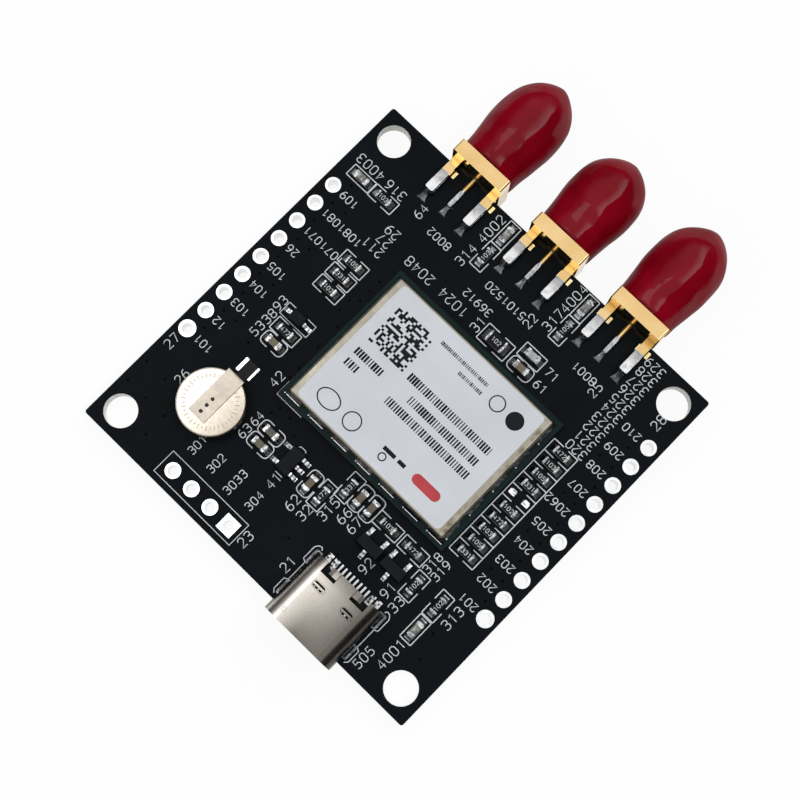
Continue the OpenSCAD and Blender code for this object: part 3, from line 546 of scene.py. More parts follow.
nickel = finish("nickel", [(206, 199, 190), (220, 213, 204)],
                rough=(0.24, 0.3), drift=6.0, grain=0.09, relief=0.001, Metallic=1.0)
under_roof = (past("X", PORT_X - CUT_HALF, 0.02, 0.0), short_of("X", PORT_X + CUT_HALF, 0.02, 0.0))
# Painted shade: darker tones on the nickel for the roof's falling shine and for the walls, tabs and inside.
PORT_PAINTED_SHADE = {
    "roof to the right": ((66, 63, 59), [past("X", 8.6, 3.8)]),
    "roof in front": ((100, 96, 90), [short_of("Y", -20.4, 2.0), past("X", 7.0, 1.2)]),
    "roof behind": ((100, 96, 90), [past("Y", -16.1, 0.8, amount=0.8)]),
    "right wall": ((88, 85, 80), [past("X", 12.2, 0.1, 0.0), short_of("Z", 4.5, 0.15, 0.0)]),
    "left wall": ((120, 116, 110), [short_of("X", 4.8, 0.12, 0.0), short_of("Z", 4.2, 0.15, 0.0)]),
    "bent tabs": ((84, 81, 77), [*under_roof, short_of("Z", 4.7, 0.01, 0.0)]),
    "inside": ((22, 21, 20), [*under_roof, short_of("Z", 4.5, 0.05, 0.0)]),
}
for tone, masks in PORT_PAINTED_SHADE.values():
    overlay(nickel, tone, *masks)
contact_gold = finish("contact_gold", [(222, 184, 112), (242, 208, 140)],
                      rough=(0.14, 0.26), drift=0.8, grain=0.3, relief=0.002, Metallic=1.0)
tinned = past("Y", TAIL_TIN_FROM, 0.05)
overlay(contact_gold, (206, 207, 208), tinned)
# Painted reflections: dark patches break the shine of the tinned tails, most on the outer ones.
overlay(contact_gold, (40, 41, 43), patches(0.3, -0.1, 0.2), tinned)
for outer in (past("X", OUTER_TAILS[1], 0.02, 0.0), short_of("X", OUTER_TAILS[0], 0.02, 0.0)):
    overlay(contact_gold, (30, 31, 33), patches(0.3, -0.9, 1.7), tinned, outer)
tongue = finish("port_tongue", [(10, 10, 12), (18, 18, 20)],
                rough=(0.4, 0.6), drift=1.2, grain=0.06, relief=0.003, Specular_IOR_Level=0.1)
print("Port finishes:", [mat.name for mat in (nickel, contact_gold, tongue)])

# %% [markdown]
# ## Steel of the cell, tin of the shield
# The cell's can and the strips are brushed steel, so their grain is the stretched noise. The
# can gets painted shade to one side and a painted dark reflection round its wall, and the end
# of the top strip, where it bends down, is painted dark as shade. The shield is tinned sheet
# that is darker in brown patches along one edge, and the label on it is a pale satin film.

# %% Cell and shield finishes
steel = finish("cell_steel", [(238, 229, 214), (248, 240, 226)],
               rough=(0.36, 0.46), drift=3.0, grain=0.1, relief=0.002, grain_group=BRUSHED, Metallic=0.9)
# Painted shade on one side of the can, and a painted dark reflection on its upright wall.
overlay(steel, (174, 164, 148), past("X", -11.6, 2.2))
overlay(steel, (84, 78, 70), STANDING)
tab_steel = finish("tab_steel", [(178, 169, 156), (192, 183, 170)],
                   rough=(0.34, 0.44), drift=3.0, grain=0.1, relief=0.002, grain_group=BRUSHED,
                   Metallic=0.9)
# Painted shade where the top strip bends down towards the board.
overlay(tab_steel, (28, 27, 26), past("Y", -8.8, 0.15))
shield_tin = finish("shield_tin", [(140, 135, 122), (164, 159, 147)],
                    rough=(0.26, 0.4), drift=1.8, grain=0.14, relief=0.004, Metallic=1.0)
overlay(shield_tin, (92, 84, 62), patches(0.9, -0.4, 0.9), past("X", 11.3, 0.2))
label_film = finish("label_film", [(199, 203, 209), (207, 211, 217)],
                    rough=(0.4, 0.52), drift=5.0, grain=0.08, relief=0.001)
print("Sheet finishes:", [mat.name for mat in (steel, tab_steel, shield_tin, label_film)])

# %% [markdown]
# ## Plastics of the jacks
# The dust caps are dipped vinyl: deep red with a glossy skin that waves slightly. A coarse
# grain without fine detail gives the wave, because detail would tear the highlight. Where
# the skin turns away from the eye it is made duller, or its rim would mirror the white floor.
# The insulator in a jack is waxy and nearly white, with painted dark brown shade where it
# lies deep in the flange.

# %% Cap and insulator finishes
RIM_TURNED = (0.25, 0.5)
RIM_ROUGH = 0.5


def dull_rim(mat):
    """Makes a finish duller where it turns away from the eye."""
    tree = mat.node_tree
    rough = tree.nodes["Principled BSDF"].inputs["Roughness"]
    facing = node(tree, "ShaderNodeLayerWeight").outputs["Facing"]
    dull = node(tree, "ShaderNodeMapRange", facing, *RIM_TURNED, rough.links[0].from_socket, RIM_ROUGH)
    tree.links.new(dull.outputs["Result"], rough)


vinyl = finish("cap_vinyl", [(113, 0, 15), (136, 2, 26)],
               rough=(0.04, 0.08), drift=4.0, grain=2.4, relief=0.13, grain_values={"Detail": 0.4},
               Specular_IOR_Level=0.15)
dull_rim(vinyl)
waxy = finish("insulator_wax", [(232, 230, 222), (244, 243, 238)],
              rough=(0.4, 0.55), drift=1.5, grain=0.15, relief=0.003, Subsurface_Weight=0.1)
# Painted shade where the insulator lies deep in the flange.
overlay(waxy, (64, 56, 42), short_of("Y", 22.3, 0.1))
print("Plastics:", vinyl.name, waxy.name)

# %% [markdown]
# ## Bodies of the small parts
# Moulded parts are black epoxy, resistors have a white ceramic body under a dark glassy
# coat, and capacitors are bare ceramic whose grey or brown differs from reel to reel, so
# their tone comes from the "per_part" group. Indicators are clear over a pale base.

# %% Small part finishes
epoxy = finish("moulded_epoxy", [(13, 15, 18), (20, 22, 25)],
               rough=(0.45, 0.65), drift=1.0, grain=0.06, relief=0.004, Specular_IOR_Level=0.1)
alumina = finish("alumina", [(150, 150, 146), (176, 176, 172)],
                 rough=(0.5, 0.7), drift=0.6, grain=0.05, relief=0.003)
glass_coat = finish("resistor_coat", [(12, 13, 16), (20, 21, 24)],
                    rough=(0.25, 0.4), drift=0.5, grain=0.08, relief=0.002, Specular_IOR_Level=0.1)
ceramic = finish("capacitor_ceramic", [(78, 76, 72), (96, 82, 62), (84, 86, 58), (104, 92, 78)],
                 rough=(0.45, 0.6), drift=1.9, grain=0.06, relief=0.003, tone_group=PER_PART)
ferrite = finish("ferrite", [(150, 152, 154), (184, 186, 187)],
                 rough=(0.35, 0.5), drift=0.5, grain=0.06, relief=0.004)
led_white = finish("led_white", [(120, 122, 120), (150, 152, 148)],
                   rough=(0.4, 0.55), drift=0.5, grain=0.06, relief=0.002)
lens_clear = finish("led_lens", [(104, 106, 98), (176, 178, 170), (242, 244, 238)],
                    rough=(0.1, 0.2), drift=0.35, grain=0.12, relief=0.006, Transmission_Weight=0.5)
print("Materials so far:", len(bpy.data.materials))

# %% [markdown]
# ## Dressing the CAD nodes
# A node keeps its CAD mesh and only gets a material. Numbered nodes, such as the three
# jacks, share the finish of their kind, so the table goes by the start of the name.

# %% Finishes by node
FINISHES = {
    "pcb": mask_black, "header_pads": tin, "module_substrate": mask_green, "module_shield": shield_tin,
    "module_label": label_film, "module_solder": solder_dark, "receiver_chip": epoxy,
    "reference_oscillator": shield_tin, "rf_filters": shield_tin, "jack_body": jack_gold,
    "jack_insulator": waxy, "jack_pin": pin_gold, "dust_cap": vinyl, "usb_shell": nickel,
    "usb_tongue": tongue, "usb_contacts": contact_gold, "battery_cell": steel,
    "battery_top_tab": tab_steel, "battery_bottom_tab": steel, "regulator_body": epoxy,
    "regulator_leads": tin_painted_glints, "clamp_body": epoxy, "clamp_leads": tin_painted_glints,
    "diode_body": epoxy, "diode_leads": tin_painted_glints, "inductor_body": ferrite,
    "inductor_ends": tin_painted_glints, "resistor_bodies": alumina, "resistor_coats": glass_coat,
    "resistor_ends": tin_painted_glints, "capacitor_bodies": ceramic, "capacitor_ends": tin_painted_glints,
    "led_base": led_white, "led_lens": lens_clear, "led_ends": tin_painted_glints,
}
for name, obj in NODES.items():
    kind = next(start for start in FINISHES if name.startswith(start))
    obj.data.materials.clear()
    obj.data.materials.append(FINISHES[kind])
print("Dressed", len(NODES), "nodes in", len(FINISHES), "kinds")

# %% [markdown]
# ## Added pieces
# An added piece is a mesh whose place is in its vertices, so its object stays at the origin.
# Each rides on a body of the CAD model. After faces were drawn in code or mirrored, their
# normals are worked out again, so that all of them point outwards.

# %% Piece helpers


def mesh_from(name, verts_mm, faces=(), edges=(), material=None, smooth=False):
    """Mesh from millimetre points."""
    mesh = bpy.data.meshes.new(name)
    mesh.from_pydata([Vector(v) * MM for v in verts_mm], edges, faces)
    if material:
        mesh.materials.append(material)
    if smooth:
        mesh.shade_smooth()
    return mesh


def face_outwards(mesh, merge=False):
    """Makes all faces of a closed mesh point outwards, with its doubles merged first."""
    bm = bmesh.new()
    bm.from_mesh(mesh)
    if merge:
        bmesh.ops.remove_doubles(bm, verts=bm.verts, dist=1e-6)
    bmesh.ops.recalc_face_normals(bm, faces=bm.faces)
    bm.to_mesh(mesh)
    bm.free()


def add_piece(name, mesh, body):
    """Links a finished mesh as a piece that rides on a body."""
    obj = bpy.data.objects.new(name, mesh)
    SCENE.collection.objects.link(obj)
    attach(obj, body)
    return obj


# %% [markdown]
# ## Growing pieces with Geometry Nodes
# Things that repeat are grown by a tree: it takes points or strokes, puts a shape on each,
# makes the copies real and sets their material. The modifier's inputs are set by the
# sockets' identifiers, the result is turned into a plain mesh, because an export drops
# instances, and the modifier is removed.

# %% Tree helpers


def geometry_tree(name, **inputs):
    """Starts a Geometry Nodes tree with named inputs, given as label=socket type."""
    tree = bpy.data.node_groups.new(name, "GeometryNodeTree")
    for label, kind in {"Geometry": "Geometry", **inputs, "Material": "Material"}.items():
        tree.interface.new_socket(label, in_out="INPUT", socket_type="NodeSocket" + kind)
    tree.interface.new_socket("Geometry", in_out="OUTPUT", socket_type="NodeSocketGeometry")
    return tree, tree.nodes.new("NodeGroupInput").outputs


def make_real(tree, given, geometry):
    """Ends a tree as every tree here ends: real geometry with a material."""
    real = node(tree, "GeometryNodeRealizeInstances", geometry)
    paint = node(tree, "GeometryNodeSetMaterial", Geometry=real.outputs[0], Material=given["Material"])
    node(tree, "NodeGroupOutput", paint.outputs[0])
    return tree


def on_points(tree, points, shape, **more):
    """Puts a shape on each point."""
    made = node(tree, "GeometryNodeInstanceOnPoints", Points=points, Instance=shape, **more)
    return made.outputs["Instances"]


def grow(name, seed_mesh, tree, slot, smooth=True, **values):
    """Runs a tree on a seed mesh and keeps the result as a plain piece of the board."""
    obj = bpy.data.objects.new(name, seed_mesh)
    SCENE.collection.objects.link(obj)
    modifier = obj.modifiers.new(tree.name, "NODES")
    modifier.node_group = tree
    for item in tree.interface.items_tree:
        if item.in_out == "INPUT" and item.name in values:
            modifier[item.identifier] = values[item.name]
    ready = obj.evaluated_get(bpy.context.evaluated_depsgraph_get())
    mesh = bpy.data.meshes.new_from_object(ready)
    obj.modifiers.remove(modifier)
    obj.data = mesh
    if smooth:
        mesh.shade_smooth()
    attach(obj, "board")
    print(name, len(mesh.polygons), "faces")
    return obj


print("Trees end in", bpy.types.GeometryNodeRealizeInstances.bl_rna.name)

# %% [markdown]
# ## Where the small parts are
# Solder, outlines and codes all follow the small parts, and a CAD node holds many of these
# as one mesh. Their places could be typed in again, but they are safer read: a copy of the
# mesh is merged, walked from vertex to vertex, and each separate solid gives a box.

# %% Places of the small parts


def box_mm(node_name):
    """Low and high corner of a CAD node, in millimetres."""
    return [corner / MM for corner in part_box(node_name)]


def islands(node_name):
    """Boxes, in millimetres, of the separate solids that one CAD node holds."""
    bm = bmesh.new()
    bm.from_mesh(NODES[node_name].data)
    bmesh.ops.remove_doubles(bm, verts=bm.verts, dist=1e-6)
    left = set(bm.verts)
    boxes = []
    while left:
        front = [left.pop()]
        group = []
        while front:
            vert = front.pop()
            group.append(vert.co / MM)
            for edge in vert.link_edges:
                other = edge.other_vert(vert)
                if other in left:
                    left.remove(other)
                    front.append(other)
        low = Vector([min(p[k] for p in group) for k in range(3)])
        high = Vector([max(p[k] for p in group) for k in range(3)])
        boxes.append((low, high))
    bm.free()
    return sorted(boxes, key=lambda box: (round(box[0].x, 2), round(box[0].y, 2)))


class Site:
    """Middle, length, width and turn of a small two-ended part, read from its box."""

    def __init__(self, box):
        low, high = box
        size = high - low
        self.middle = (low + high) / 2
        self.turned = size.y > size.x
        self.length = max(size.x, size.y)
        self.width = min(size.x, size.y)

    def along(self, out):
        """A point at a distance from the middle along the part."""
        if self.turned:
            return self.middle.x, self.middle.y + out
        return self.middle.x + out, self.middle.y


RESISTORS = [Site(box) for box in islands("resistor_bodies")]
CAPACITORS = [Site(box) for box in islands("capacitor_bodies")]
INDUCTOR = Site(islands("inductor_body")[0])
LEDS = [Site(islands(f"led_base_{k}")[0]) for k in (1, 2, 3, 4)]
print(len(RESISTORS), "resistors,", len(CAPACITORS), "capacitors,", len(LEDS), "indicators")

# %% [markdown]
# ## Profile of a dust cap
# Each cap was dipped on a rod: a thin lip, a swell to the belly and a blunt nose. A curve
# could be drawn and spun, but two formulas give the same outline as the CAD solid for any
# length. The rings start at the end of the bore, run out to the mouth, and go back over the
# outside, so that the cap is a hollow shell that still looks right when it is pulled off.

# %% Cap profile
CAP_BORE_R = 3.1
CAP_LIP = 0.2
CAP_BORE_DEPTH = 8.0
CAP_BORE_ROUND = 0.4
CAP_POLE_R = 0.02
CAP_STEPS = 44
NOSE_BLUNT = 2.75
NOSE_ROUND = 0.73

BORE_RINGS = [
    (CAP_POLE_R, CAP_BORE_DEPTH), (CAP_BORE_R - CAP_BORE_ROUND, CAP_BORE_DEPTH),
    (CAP_BORE_R, CAP_BORE_DEPTH - CAP_BORE_ROUND), (CAP_BORE_R, CAP_BORE_DEPTH / 2),
    (CAP_BORE_R, 0.1), (CAP_BORE_R + 0.05, 0.0), (CAP_BORE_R + 0.15, 0.0),
]


def cap_radius(along, length, belly_r):
    """Outer radius at a distance from the mouth: a swell to the belly, then the nose."""
    lip_r = CAP_BORE_R + CAP_LIP
    if along < CAP_BELLY_FROM:
        return lip_r + (belly_r - lip_r) * math.sin(math.pi / 2 * along / CAP_BELLY_FROM) ** 2
    u = (along - CAP_BELLY_FROM) / (length - CAP_BELLY_FROM)
    return belly_r * max(0.0, 1 - u ** NOSE_BLUNT) ** NOSE_ROUND


def cap_rings(length, belly_r):
    """Radius and distance of each ring, from inside the bore out over the lip to the nose."""
    rings = list(BORE_RINGS)
    for k in range(1, CAP_STEPS):
        along = length * math.sin(math.pi / 2 * k / CAP_STEPS)
        rings.append((cap_radius(along, length, belly_r), along))
    return rings + [(CAP_POLE_R, length)]


print("A cap has", len(cap_rings(11.0, 3.8)), "rings")

# %% [markdown]
# ## Dust caps
# Running vinyl left slow ripples on the caps. A plain revolve would be too perfect and its
# highlight too straight, so a little noise pulls the skin in, less near the mouth and the
# pole. It never pushes out, so a cap stays inside its CAD solid, which it replaces.

# %% Dust caps
CAP_TURNS = 96
CAP_RIPPLE = 0.12
RIPPLE_ROUND = 1.9
RIPPLE_ALONG = 0.6
RIPPLE_APART = 7.3
RIPPLE_PARTS = (0.3, 0.4, 0.1)
FINE_RIPPLE = 2.3
CALM_MOUTH = 3.0
CALM_POLE = 2.0


def ripple(number, way, along, radius):
    """How far the skin of a cap is pulled in at a place."""
    spot = Vector((way.x * RIPPLE_ROUND, along * RIPPLE_ALONG, way.z * RIPPLE_ROUND + RIPPLE_APART * number))
    mean, slow, fine = RIPPLE_PARTS
    dent = max(0.0, mean + slow * noise.noise(spot) + fine * noise.noise(spot * FINE_RIPPLE))
    return CAP_RIPPLE * min(1.0, along / CALM_MOUTH) * dent * min(1.0, radius / CALM_POLE)


def dust_cap(number):
    """One cap as a hollow shell in place of its CAD solid."""
    low, high = box_mm(f"dust_cap_{number}")
    axis = (low + high) / 2
    rings = cap_rings(high.y - low.y, (high.x - low.x) / 2)
    verts, faces = [], []
    for k, (radius, along) in enumerate(rings):
        for turn in range(CAP_TURNS):
            angle = 2 * math.pi * turn / CAP_TURNS
            way = Vector((math.cos(angle), 0.0, math.sin(angle)))
            r = radius - ripple(number, way, along, radius) if k >= len(BORE_RINGS) else radius
            verts.append((axis.x + r * way.x, low.y + along, axis.z + r * way.z))
    for k in range(len(rings) - 1):
        for turn in range(CAP_TURNS):
            a = k * CAP_TURNS + turn
            b = k * CAP_TURNS + (turn + 1) % CAP_TURNS
            faces.append((a, b, b + CAP_TURNS, a + CAP_TURNS))
    faces.append(tuple(reversed(range(CAP_TURNS))))
    faces.append(tuple(range(len(verts) - CAP_TURNS, len(verts))))
    mesh = mesh_from(f"cap_{number}_skin", verts, faces, material=vinyl, smooth=True)
    face_outwards(mesh)
    cap = add_piece(f"cap_{number}_skin", mesh, f"cap_{number}")
    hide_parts(f"dust_cap_{number}")
    print(cap.name, "length", round(high.y - low.y, 2), "mm,", len(faces), "faces")


for number in (1, 2, 3):
    dust_cap(number)

# %% [markdown]
# ## Jack threads
# Under the caps each barrel carries a fine thread. A boolean cut would be heavy, so a spiral
# curve is given a small diamond section and laid on the barrel, one copy per jack. The turns
# are set by the pitch, and the crest stays inside the bore of the cap.

# %% Threads
THREAD_PITCH = 25.4 / 36
THREAD_ROOT_R = 2.85
THREAD_DEPTH = 0.2
THREAD_FROM = 24.65
THREAD_TO = 30.55
LAID_ALONG_Y = (-math.pi / 2, 0.0, 0.0)


def thread_tree():
    tree, given = geometry_tree("jack_thread", Radius="Float", Depth="Float", Length="Float", Turns="Float")
    spiral = node(tree, "GeometryNodeCurveSpiral", Resolution=40, Rotations=given["Turns"],
                  Start_Radius=given["Radius"], End_Radius=given["Radius"], Height=given["Length"])
    section = node(tree, "GeometryNodeCurvePrimitiveCircle", Resolution=4, Radius=given["Depth"])
    sweep = node(tree, "GeometryNodeCurveToMesh", Curve=spiral.outputs["Curve"],
                 Profile_Curve=section.outputs["Curve"], Fill_Caps=True)
    lay = node(tree, "GeometryNodeTransform", Geometry=sweep.outputs["Mesh"], Rotation=LAID_ALONG_Y)
    return make_real(tree, given, on_points(tree, given["Geometry"], lay.outputs["Geometry"]))


jack_axes = []
for number in (1, 2, 3):
    low, high = box_mm(f"dust_cap_{number}")
    jack_axes.append((low + high) / 2)
starts = [(axis.x, THREAD_FROM, axis.z) for axis in jack_axes]
grow("jack_threads", mesh_from("thread_starts", starts), thread_tree(), "gold", smooth=False,
     Radius=THREAD_ROOT_R * MM, Depth=THREAD_DEPTH * MM, Length=(THREAD_TO - THREAD_FROM) * MM,
     Turns=(THREAD_TO - THREAD_FROM) / THREAD_PITCH, Material=jack_gold)

# %% [markdown]
# ## Shapes of solder
# Every soldered end stands on a land, and the solder climbs from the land's edge up the metal
# in a steep curve. A bump can't give the dark slopes and bright rims, so one slope of unit
# size is drawn as a small closed mesh: it leans on a wall at Y 0 and runs out at Y 1. Past
# the tip of a jack leg the solder narrows and flares out again, which is the same mesh with
# another width and height.

# %% Solder slopes
SLOPE_COLUMNS = 8
SLOPE_ROWS = 7


def unit_object(name, verts, faces):
    """Unlinked object of unit size in metres, for a tree to copy."""
    mesh = bpy.data.meshes.new(name)
    mesh.from_pydata(verts, [], faces)
    face_outwards(mesh, merge=True)
    return bpy.data.objects.new(name, mesh)


def slope_shape(name, half_width, height):
    """Closed solder slope, from its half width and height at a place across and along."""
    verts, faces = [], []
    for row in range(SLOPE_ROWS + 1):
        v = row / SLOPE_ROWS
        for column in range(SLOPE_COLUMNS + 1):
            u = 2 * column / SLOPE_COLUMNS - 1
            verts.append((u * half_width(v), v, height(abs(u), v)))
    wide = SLOPE_COLUMNS + 1
    for row in range(SLOPE_ROWS):
        for column in range(SLOPE_COLUMNS):
            a = row * wide + column
            faces.append((a, a + 1, a + 1 + wide, a + wide))
    rim = list(range(wide))
    rim += [wide * (row + 1) - 1 for row in range(1, SLOPE_ROWS + 1)]
    rim += [SLOPE_ROWS * wide + k for k in range(SLOPE_COLUMNS - 1, -1, -1)]
    rim += [wide * row for row in range(SLOPE_ROWS - 1, 0, -1)]
    foot = len(verts)
    verts += [(verts[k][0], verts[k][1], 0.0) for k in rim]
    for k in range(len(rim)):
        following = (k + 1) % len(rim)
        faces.append((rim[k], foot + k, foot + following, rim[following]))
    faces.append(tuple(foot + k for k in range(len(rim))))
    return unit_object(name, verts, faces)


def joint_height(u, v):
    return (1 - v) ** 1.25 * (1 - 0.6 * u ** 6) + 0.03


def flare_width(v):
    return 0.38 - 0.51 * v + 0.63 * v ** 2


def flare_height(u, v):
    return (1 - v) ** 1.35 * (0.6 + 0.4 * (1 - u)) + 0.2 * v * (1 - v) * u + 0.03


JOINT = slope_shape("joint_shape", lambda v: 0.5 - 0.04 * v, joint_height)
FLARE = slope_shape("flare_shape", flare_width, flare_height)
print("A solder slope has", len(JOINT.data.polygons), "faces")

# %% [markdown]
# ## Lands
# A land is the flat tinned copper under a joint, with eased corners. The same rounded box
# will serve for the white outlines, so its corners are drawn by a helper of their own.

# %% Lands
CORNER_STEPS = 3
LAND_ROUND = 0.12


def rounded_box(length, width, round_r):
    """Points of a box round the origin with round corners, from the lower right on."""
    points = []
    for x, y, begin in ((1, -1, 270), (1, 1, 0), (-1, 1, 90), (-1, -1, 180)):
        for step in range(CORNER_STEPS + 1):
            angle = math.radians(begin + 90 / CORNER_STEPS * step)
            px = x * (length / 2 - round_r) + round_r * math.cos(angle)
            py = y * (width / 2 - round_r) + round_r * math.sin(angle)
            points.append((px, py))
    return points


def land_shape():
    """Flat land of unit size."""
    outline = rounded_box(1.0, 1.0, LAND_ROUND)
    count = len(outline)
    verts = [(x, y, 0.0) for x, y in outline] + [(x, y, 1.0) for x, y in outline]
    faces = [tuple(reversed(range(count))), tuple(range(count, 2 * count))]
    for k in range(count):
        following = (k + 1) % count
        faces.append((k, following, count + following, count + k))
    return unit_object("land_shape", verts, faces)


LAND = land_shape()
print("A land has", len(LAND.data.polygons), "faces")

# %% [markdown]
# ## Copies on points
# A hundred joints by hand would be dull. Here each is only a point with a turn and a size as
# its attributes, and one tree puts a shape on every point. The lists of points are filled in
# the next steps, part by part.

# %% Copies tree


def copies_tree():
    """Puts a shape on each point, turned and sized by the point's own attributes."""
    tree, given = geometry_tree("copies_on_points", Shape="Object")
    shape = node(tree, "GeometryNodeObjectInfo", Object=given["Shape"])
    turn = node(tree, "GeometryNodeInputNamedAttribute", data_type="FLOAT", Name="turn")
    size = node(tree, "GeometryNodeInputNamedAttribute", data_type="FLOAT_VECTOR", Name="size")
    about_z = node(tree, "ShaderNodeCombineXYZ", Z=turn.outputs["Attribute"])
    rotation = node(tree, "FunctionNodeEulerToRotation", about_z.outputs["Vector"])
    copies = on_points(tree, given["Geometry"], shape.outputs["Geometry"],
                       Rotation=rotation.outputs["Rotation"], Scale=size.outputs["Attribute"])
    return make_real(tree, given, copies)


COPIES = copies_tree()


def scatter(name, places, shape, material, slot="tin", smooth=True):
    """Grows a shape on places, each a point, a turn in degrees and a size, in millimetres."""
    mesh = mesh_from(name + "_points", [point for point, _, _ in places])
    turns = mesh.attributes.new("turn", "FLOAT", "POINT")
    turns.data.foreach_set("value", [math.radians(turn) for _, turn, _ in places])
    sizes = mesh.attributes.new("size", "FLOAT_VECTOR", "POINT")
    sizes.data.foreach_set("vector", [v * MM for _, _, size in places for v in size])
    return grow(name, mesh, COPIES, slot, smooth, Shape=shape, Material=material)


print("Copies tree of", len(COPIES.nodes), "nodes")

# %% [markdown]
# ## Joints of the chip parts
# The joints of the small two-ended parts follow from the boxes of their bodies: one at each
# end, turned outwards, and as wide as the land that it covers. One resistor place was left
# empty, and there the bare lands show, with a little solder on each.

# %% Joints of the chip parts
END_T = 0.05
LAND_T = 0.03
JOINT_SPARE = 0.06
JOINT_REACH = 0.46
JOINT_RISE = 0.36
EMPTY_PLACE = Vector((14.57, 1.82))
EMPTY_HALF = 0.85
EMPTY_LAND = (0.75, 0.5, LAND_T)
EMPTY_SOLDER = (0.5, 0.66, 0.12)
EMPTY_SHIFT = (0.34, 0.16)

joints, lands = [], []
for site in RESISTORS + CAPACITORS + [INDUCTOR] + LEDS:
    for sign in (-1, 1):
        x, y = site.along(sign * (site.length / 2 + END_T))
        turn = (0 if sign > 0 else 180) if site.turned else -90 * sign
        joints.append(((x, y, TOP), turn, (site.width + JOINT_SPARE, JOINT_REACH, JOINT_RISE)))
for sign in (-1, 1):
    x, y = EMPTY_PLACE.x + sign * EMPTY_HALF, EMPTY_PLACE.y
    lands.append(((x, y, TOP), 0, EMPTY_LAND))
    joints.append(((x - sign * EMPTY_SHIFT[0], y + EMPTY_SHIFT[1], TOP), -90 * sign, EMPTY_SOLDER))
print(len(joints), "joints of chip parts")

# %% [markdown]
# ## Joints of the bent leads
# The leads of the regulator, the clamps and the diode end in flat feet, so their solder is
# low. Which way a foot points is read from its box: along its longer side, away from the
# body.

# %% Joints of the bent leads
LEAD_TUCK = 0.04
LEAD_SPARE = 0.1
LEAD_REACH = 0.34
LEAD_RISE = 0.13


def lead_tip(low, high, body_mid):
    """Tip, outward direction and width of a lead that sticks out of a body."""
    size, mid = high - low, (low + high) / 2
    if size.x > size.y:
        sign = 1 if mid.x > body_mid.x else -1
        return Vector((high.x if sign > 0 else low.x, mid.y)), Vector((sign, 0)), size.y
    sign = 1 if mid.y > body_mid.y else -1
    return Vector((mid.x, high.y if sign > 0 else low.y)), Vector((0, sign)), size.x


chip_joints = len(joints)
for leads in ("regulator_leads", "clamp_leads_1", "clamp_leads_2", "diode_leads"):
    body_low, body_high = box_mm(leads.replace("leads", "body"))
    for low, high in islands(leads):
        tip, out, wide = lead_tip(low, high, (body_low + body_high) / 2)
        turn = -90 * out.x if out.x else (0 if out.y > 0 else 180)
        place = (*(tip - LEAD_TUCK * out), TOP)
        joints.append((place, turn, (wide + LEAD_SPARE, LEAD_REACH, LEAD_RISE)))
print(len(joints) - chip_joints, "joints of bent leads")

# %% [markdown]
# ## Joints of the jacks
# The jack legs and the pin lie on long lands. Solder climbs along both sides of each, and
# past the tip it runs out in a flare. Near the board's edge two ears of each land still show
# their gold, the pin is coated by a low bar of solder, and the slit between the flange and
# the board is filled by a dark block of painted shade.

# %% Joints of the jacks
LEG_W = 0.95
LEG_TIP = 17.69
LEG_SPREAD = 2.55
LEG_SIDE = (0.16, 0.6)
LEG_FLARE = (1.3, 1.25, 0.95)
LEG_TUCK = 0.08
LEG_EARS = ((-0.57, 0.16), (0.74, 0.32))
LEG_EAR_L = 0.75
LEG_EAR_Y = 20.7
PIN_TIP = 17.94
PIN_HALF = 0.2
PIN_SIDE = (0.22, 0.4)
PIN_FLARE = (1.0, 1.25, 0.5)
PIN_TUCK = 0.15
PIN_COAT = (0.42, 1.95, 0.52)
SLIT_SHADE_SIZE = (4.1, 0.24, 1.2)
SLIT_SHADE_UP = 0.2

# Painted shade: a dark block that fills the slit between the flange and the board.
painted_slit_shade = finish("painted_slit_shade", [(16, 14, 10), (30, 26, 18)],
              rough=(0.2, 0.35), drift=0.5, grain=0.2, relief=0.004, Specular_IOR_Level=0.1)
slit_y = board_high.y / MM + SLIT_SHADE_SIZE[1] / 2
leg_mid = (LEG_TIP + LEG_SOLDER_TO) / 2
leg_len = LEG_SOLDER_TO - LEG_TIP
flares, ears, coats, fills = [], [], [], []
for axis in jack_axes:
    for side in (-1, 1):
        leg_x = axis.x + side * LEG_SPREAD
        for shift, wide in LEG_EARS:
            ears.append(((leg_x + shift, LEG_EAR_Y, TOP), 0, (wide, LEG_EAR_L, LAND_T)))
        flares.append(((leg_x, LEG_TIP + LEG_TUCK, TOP), 180, LEG_FLARE))
        for out in (-1, 1):
            joints.append(((leg_x + out * LEG_W / 2, leg_mid, TOP), -90 * out, (leg_len, *LEG_SIDE)))
    flares.append(((axis.x, PIN_TIP + PIN_TUCK, TOP), 180, PIN_FLARE))
    coats.append(((axis.x, PIN_TIP + PIN_COAT[1] / 2, TOP), 0, PIN_COAT))
    fills.append(((axis.x, slit_y, SLIT_SHADE_UP), 0, SLIT_SHADE_SIZE))
    for out in (-1, 1):
        joints.append(((axis.x + out * PIN_HALF, leg_mid, TOP), -90 * out, (leg_len, *PIN_SIDE)))
print(len(flares), "flares and", len(ears), "ears at the jacks")

# %% [markdown]
# ## Joints of the port and the cell
# The port's legs pass through slots with wide lands, which lie in its shade and look dark.
# The foot of the cell's strip has a bright land on each side. With these the lists are
# complete, and each becomes one piece.

# %% Joints of the port and the cell
PORT_LEG_X = 4.125
PORT_LEG_Y = (-19.97, -16.02)
PORT_LAND_OUT = 0.12
PORT_LAND = (0.86, 1.75, LAND_T)
PORT_SLOPE = (1.5, 0.22, 0.5)
FOOT_HALF_W = 0.6
FOOT_SIDES = ((-1, 0.38), (1, 0.24))
FOOT_LAND_L = 1.6
FOOT_LAND_H = 0.1

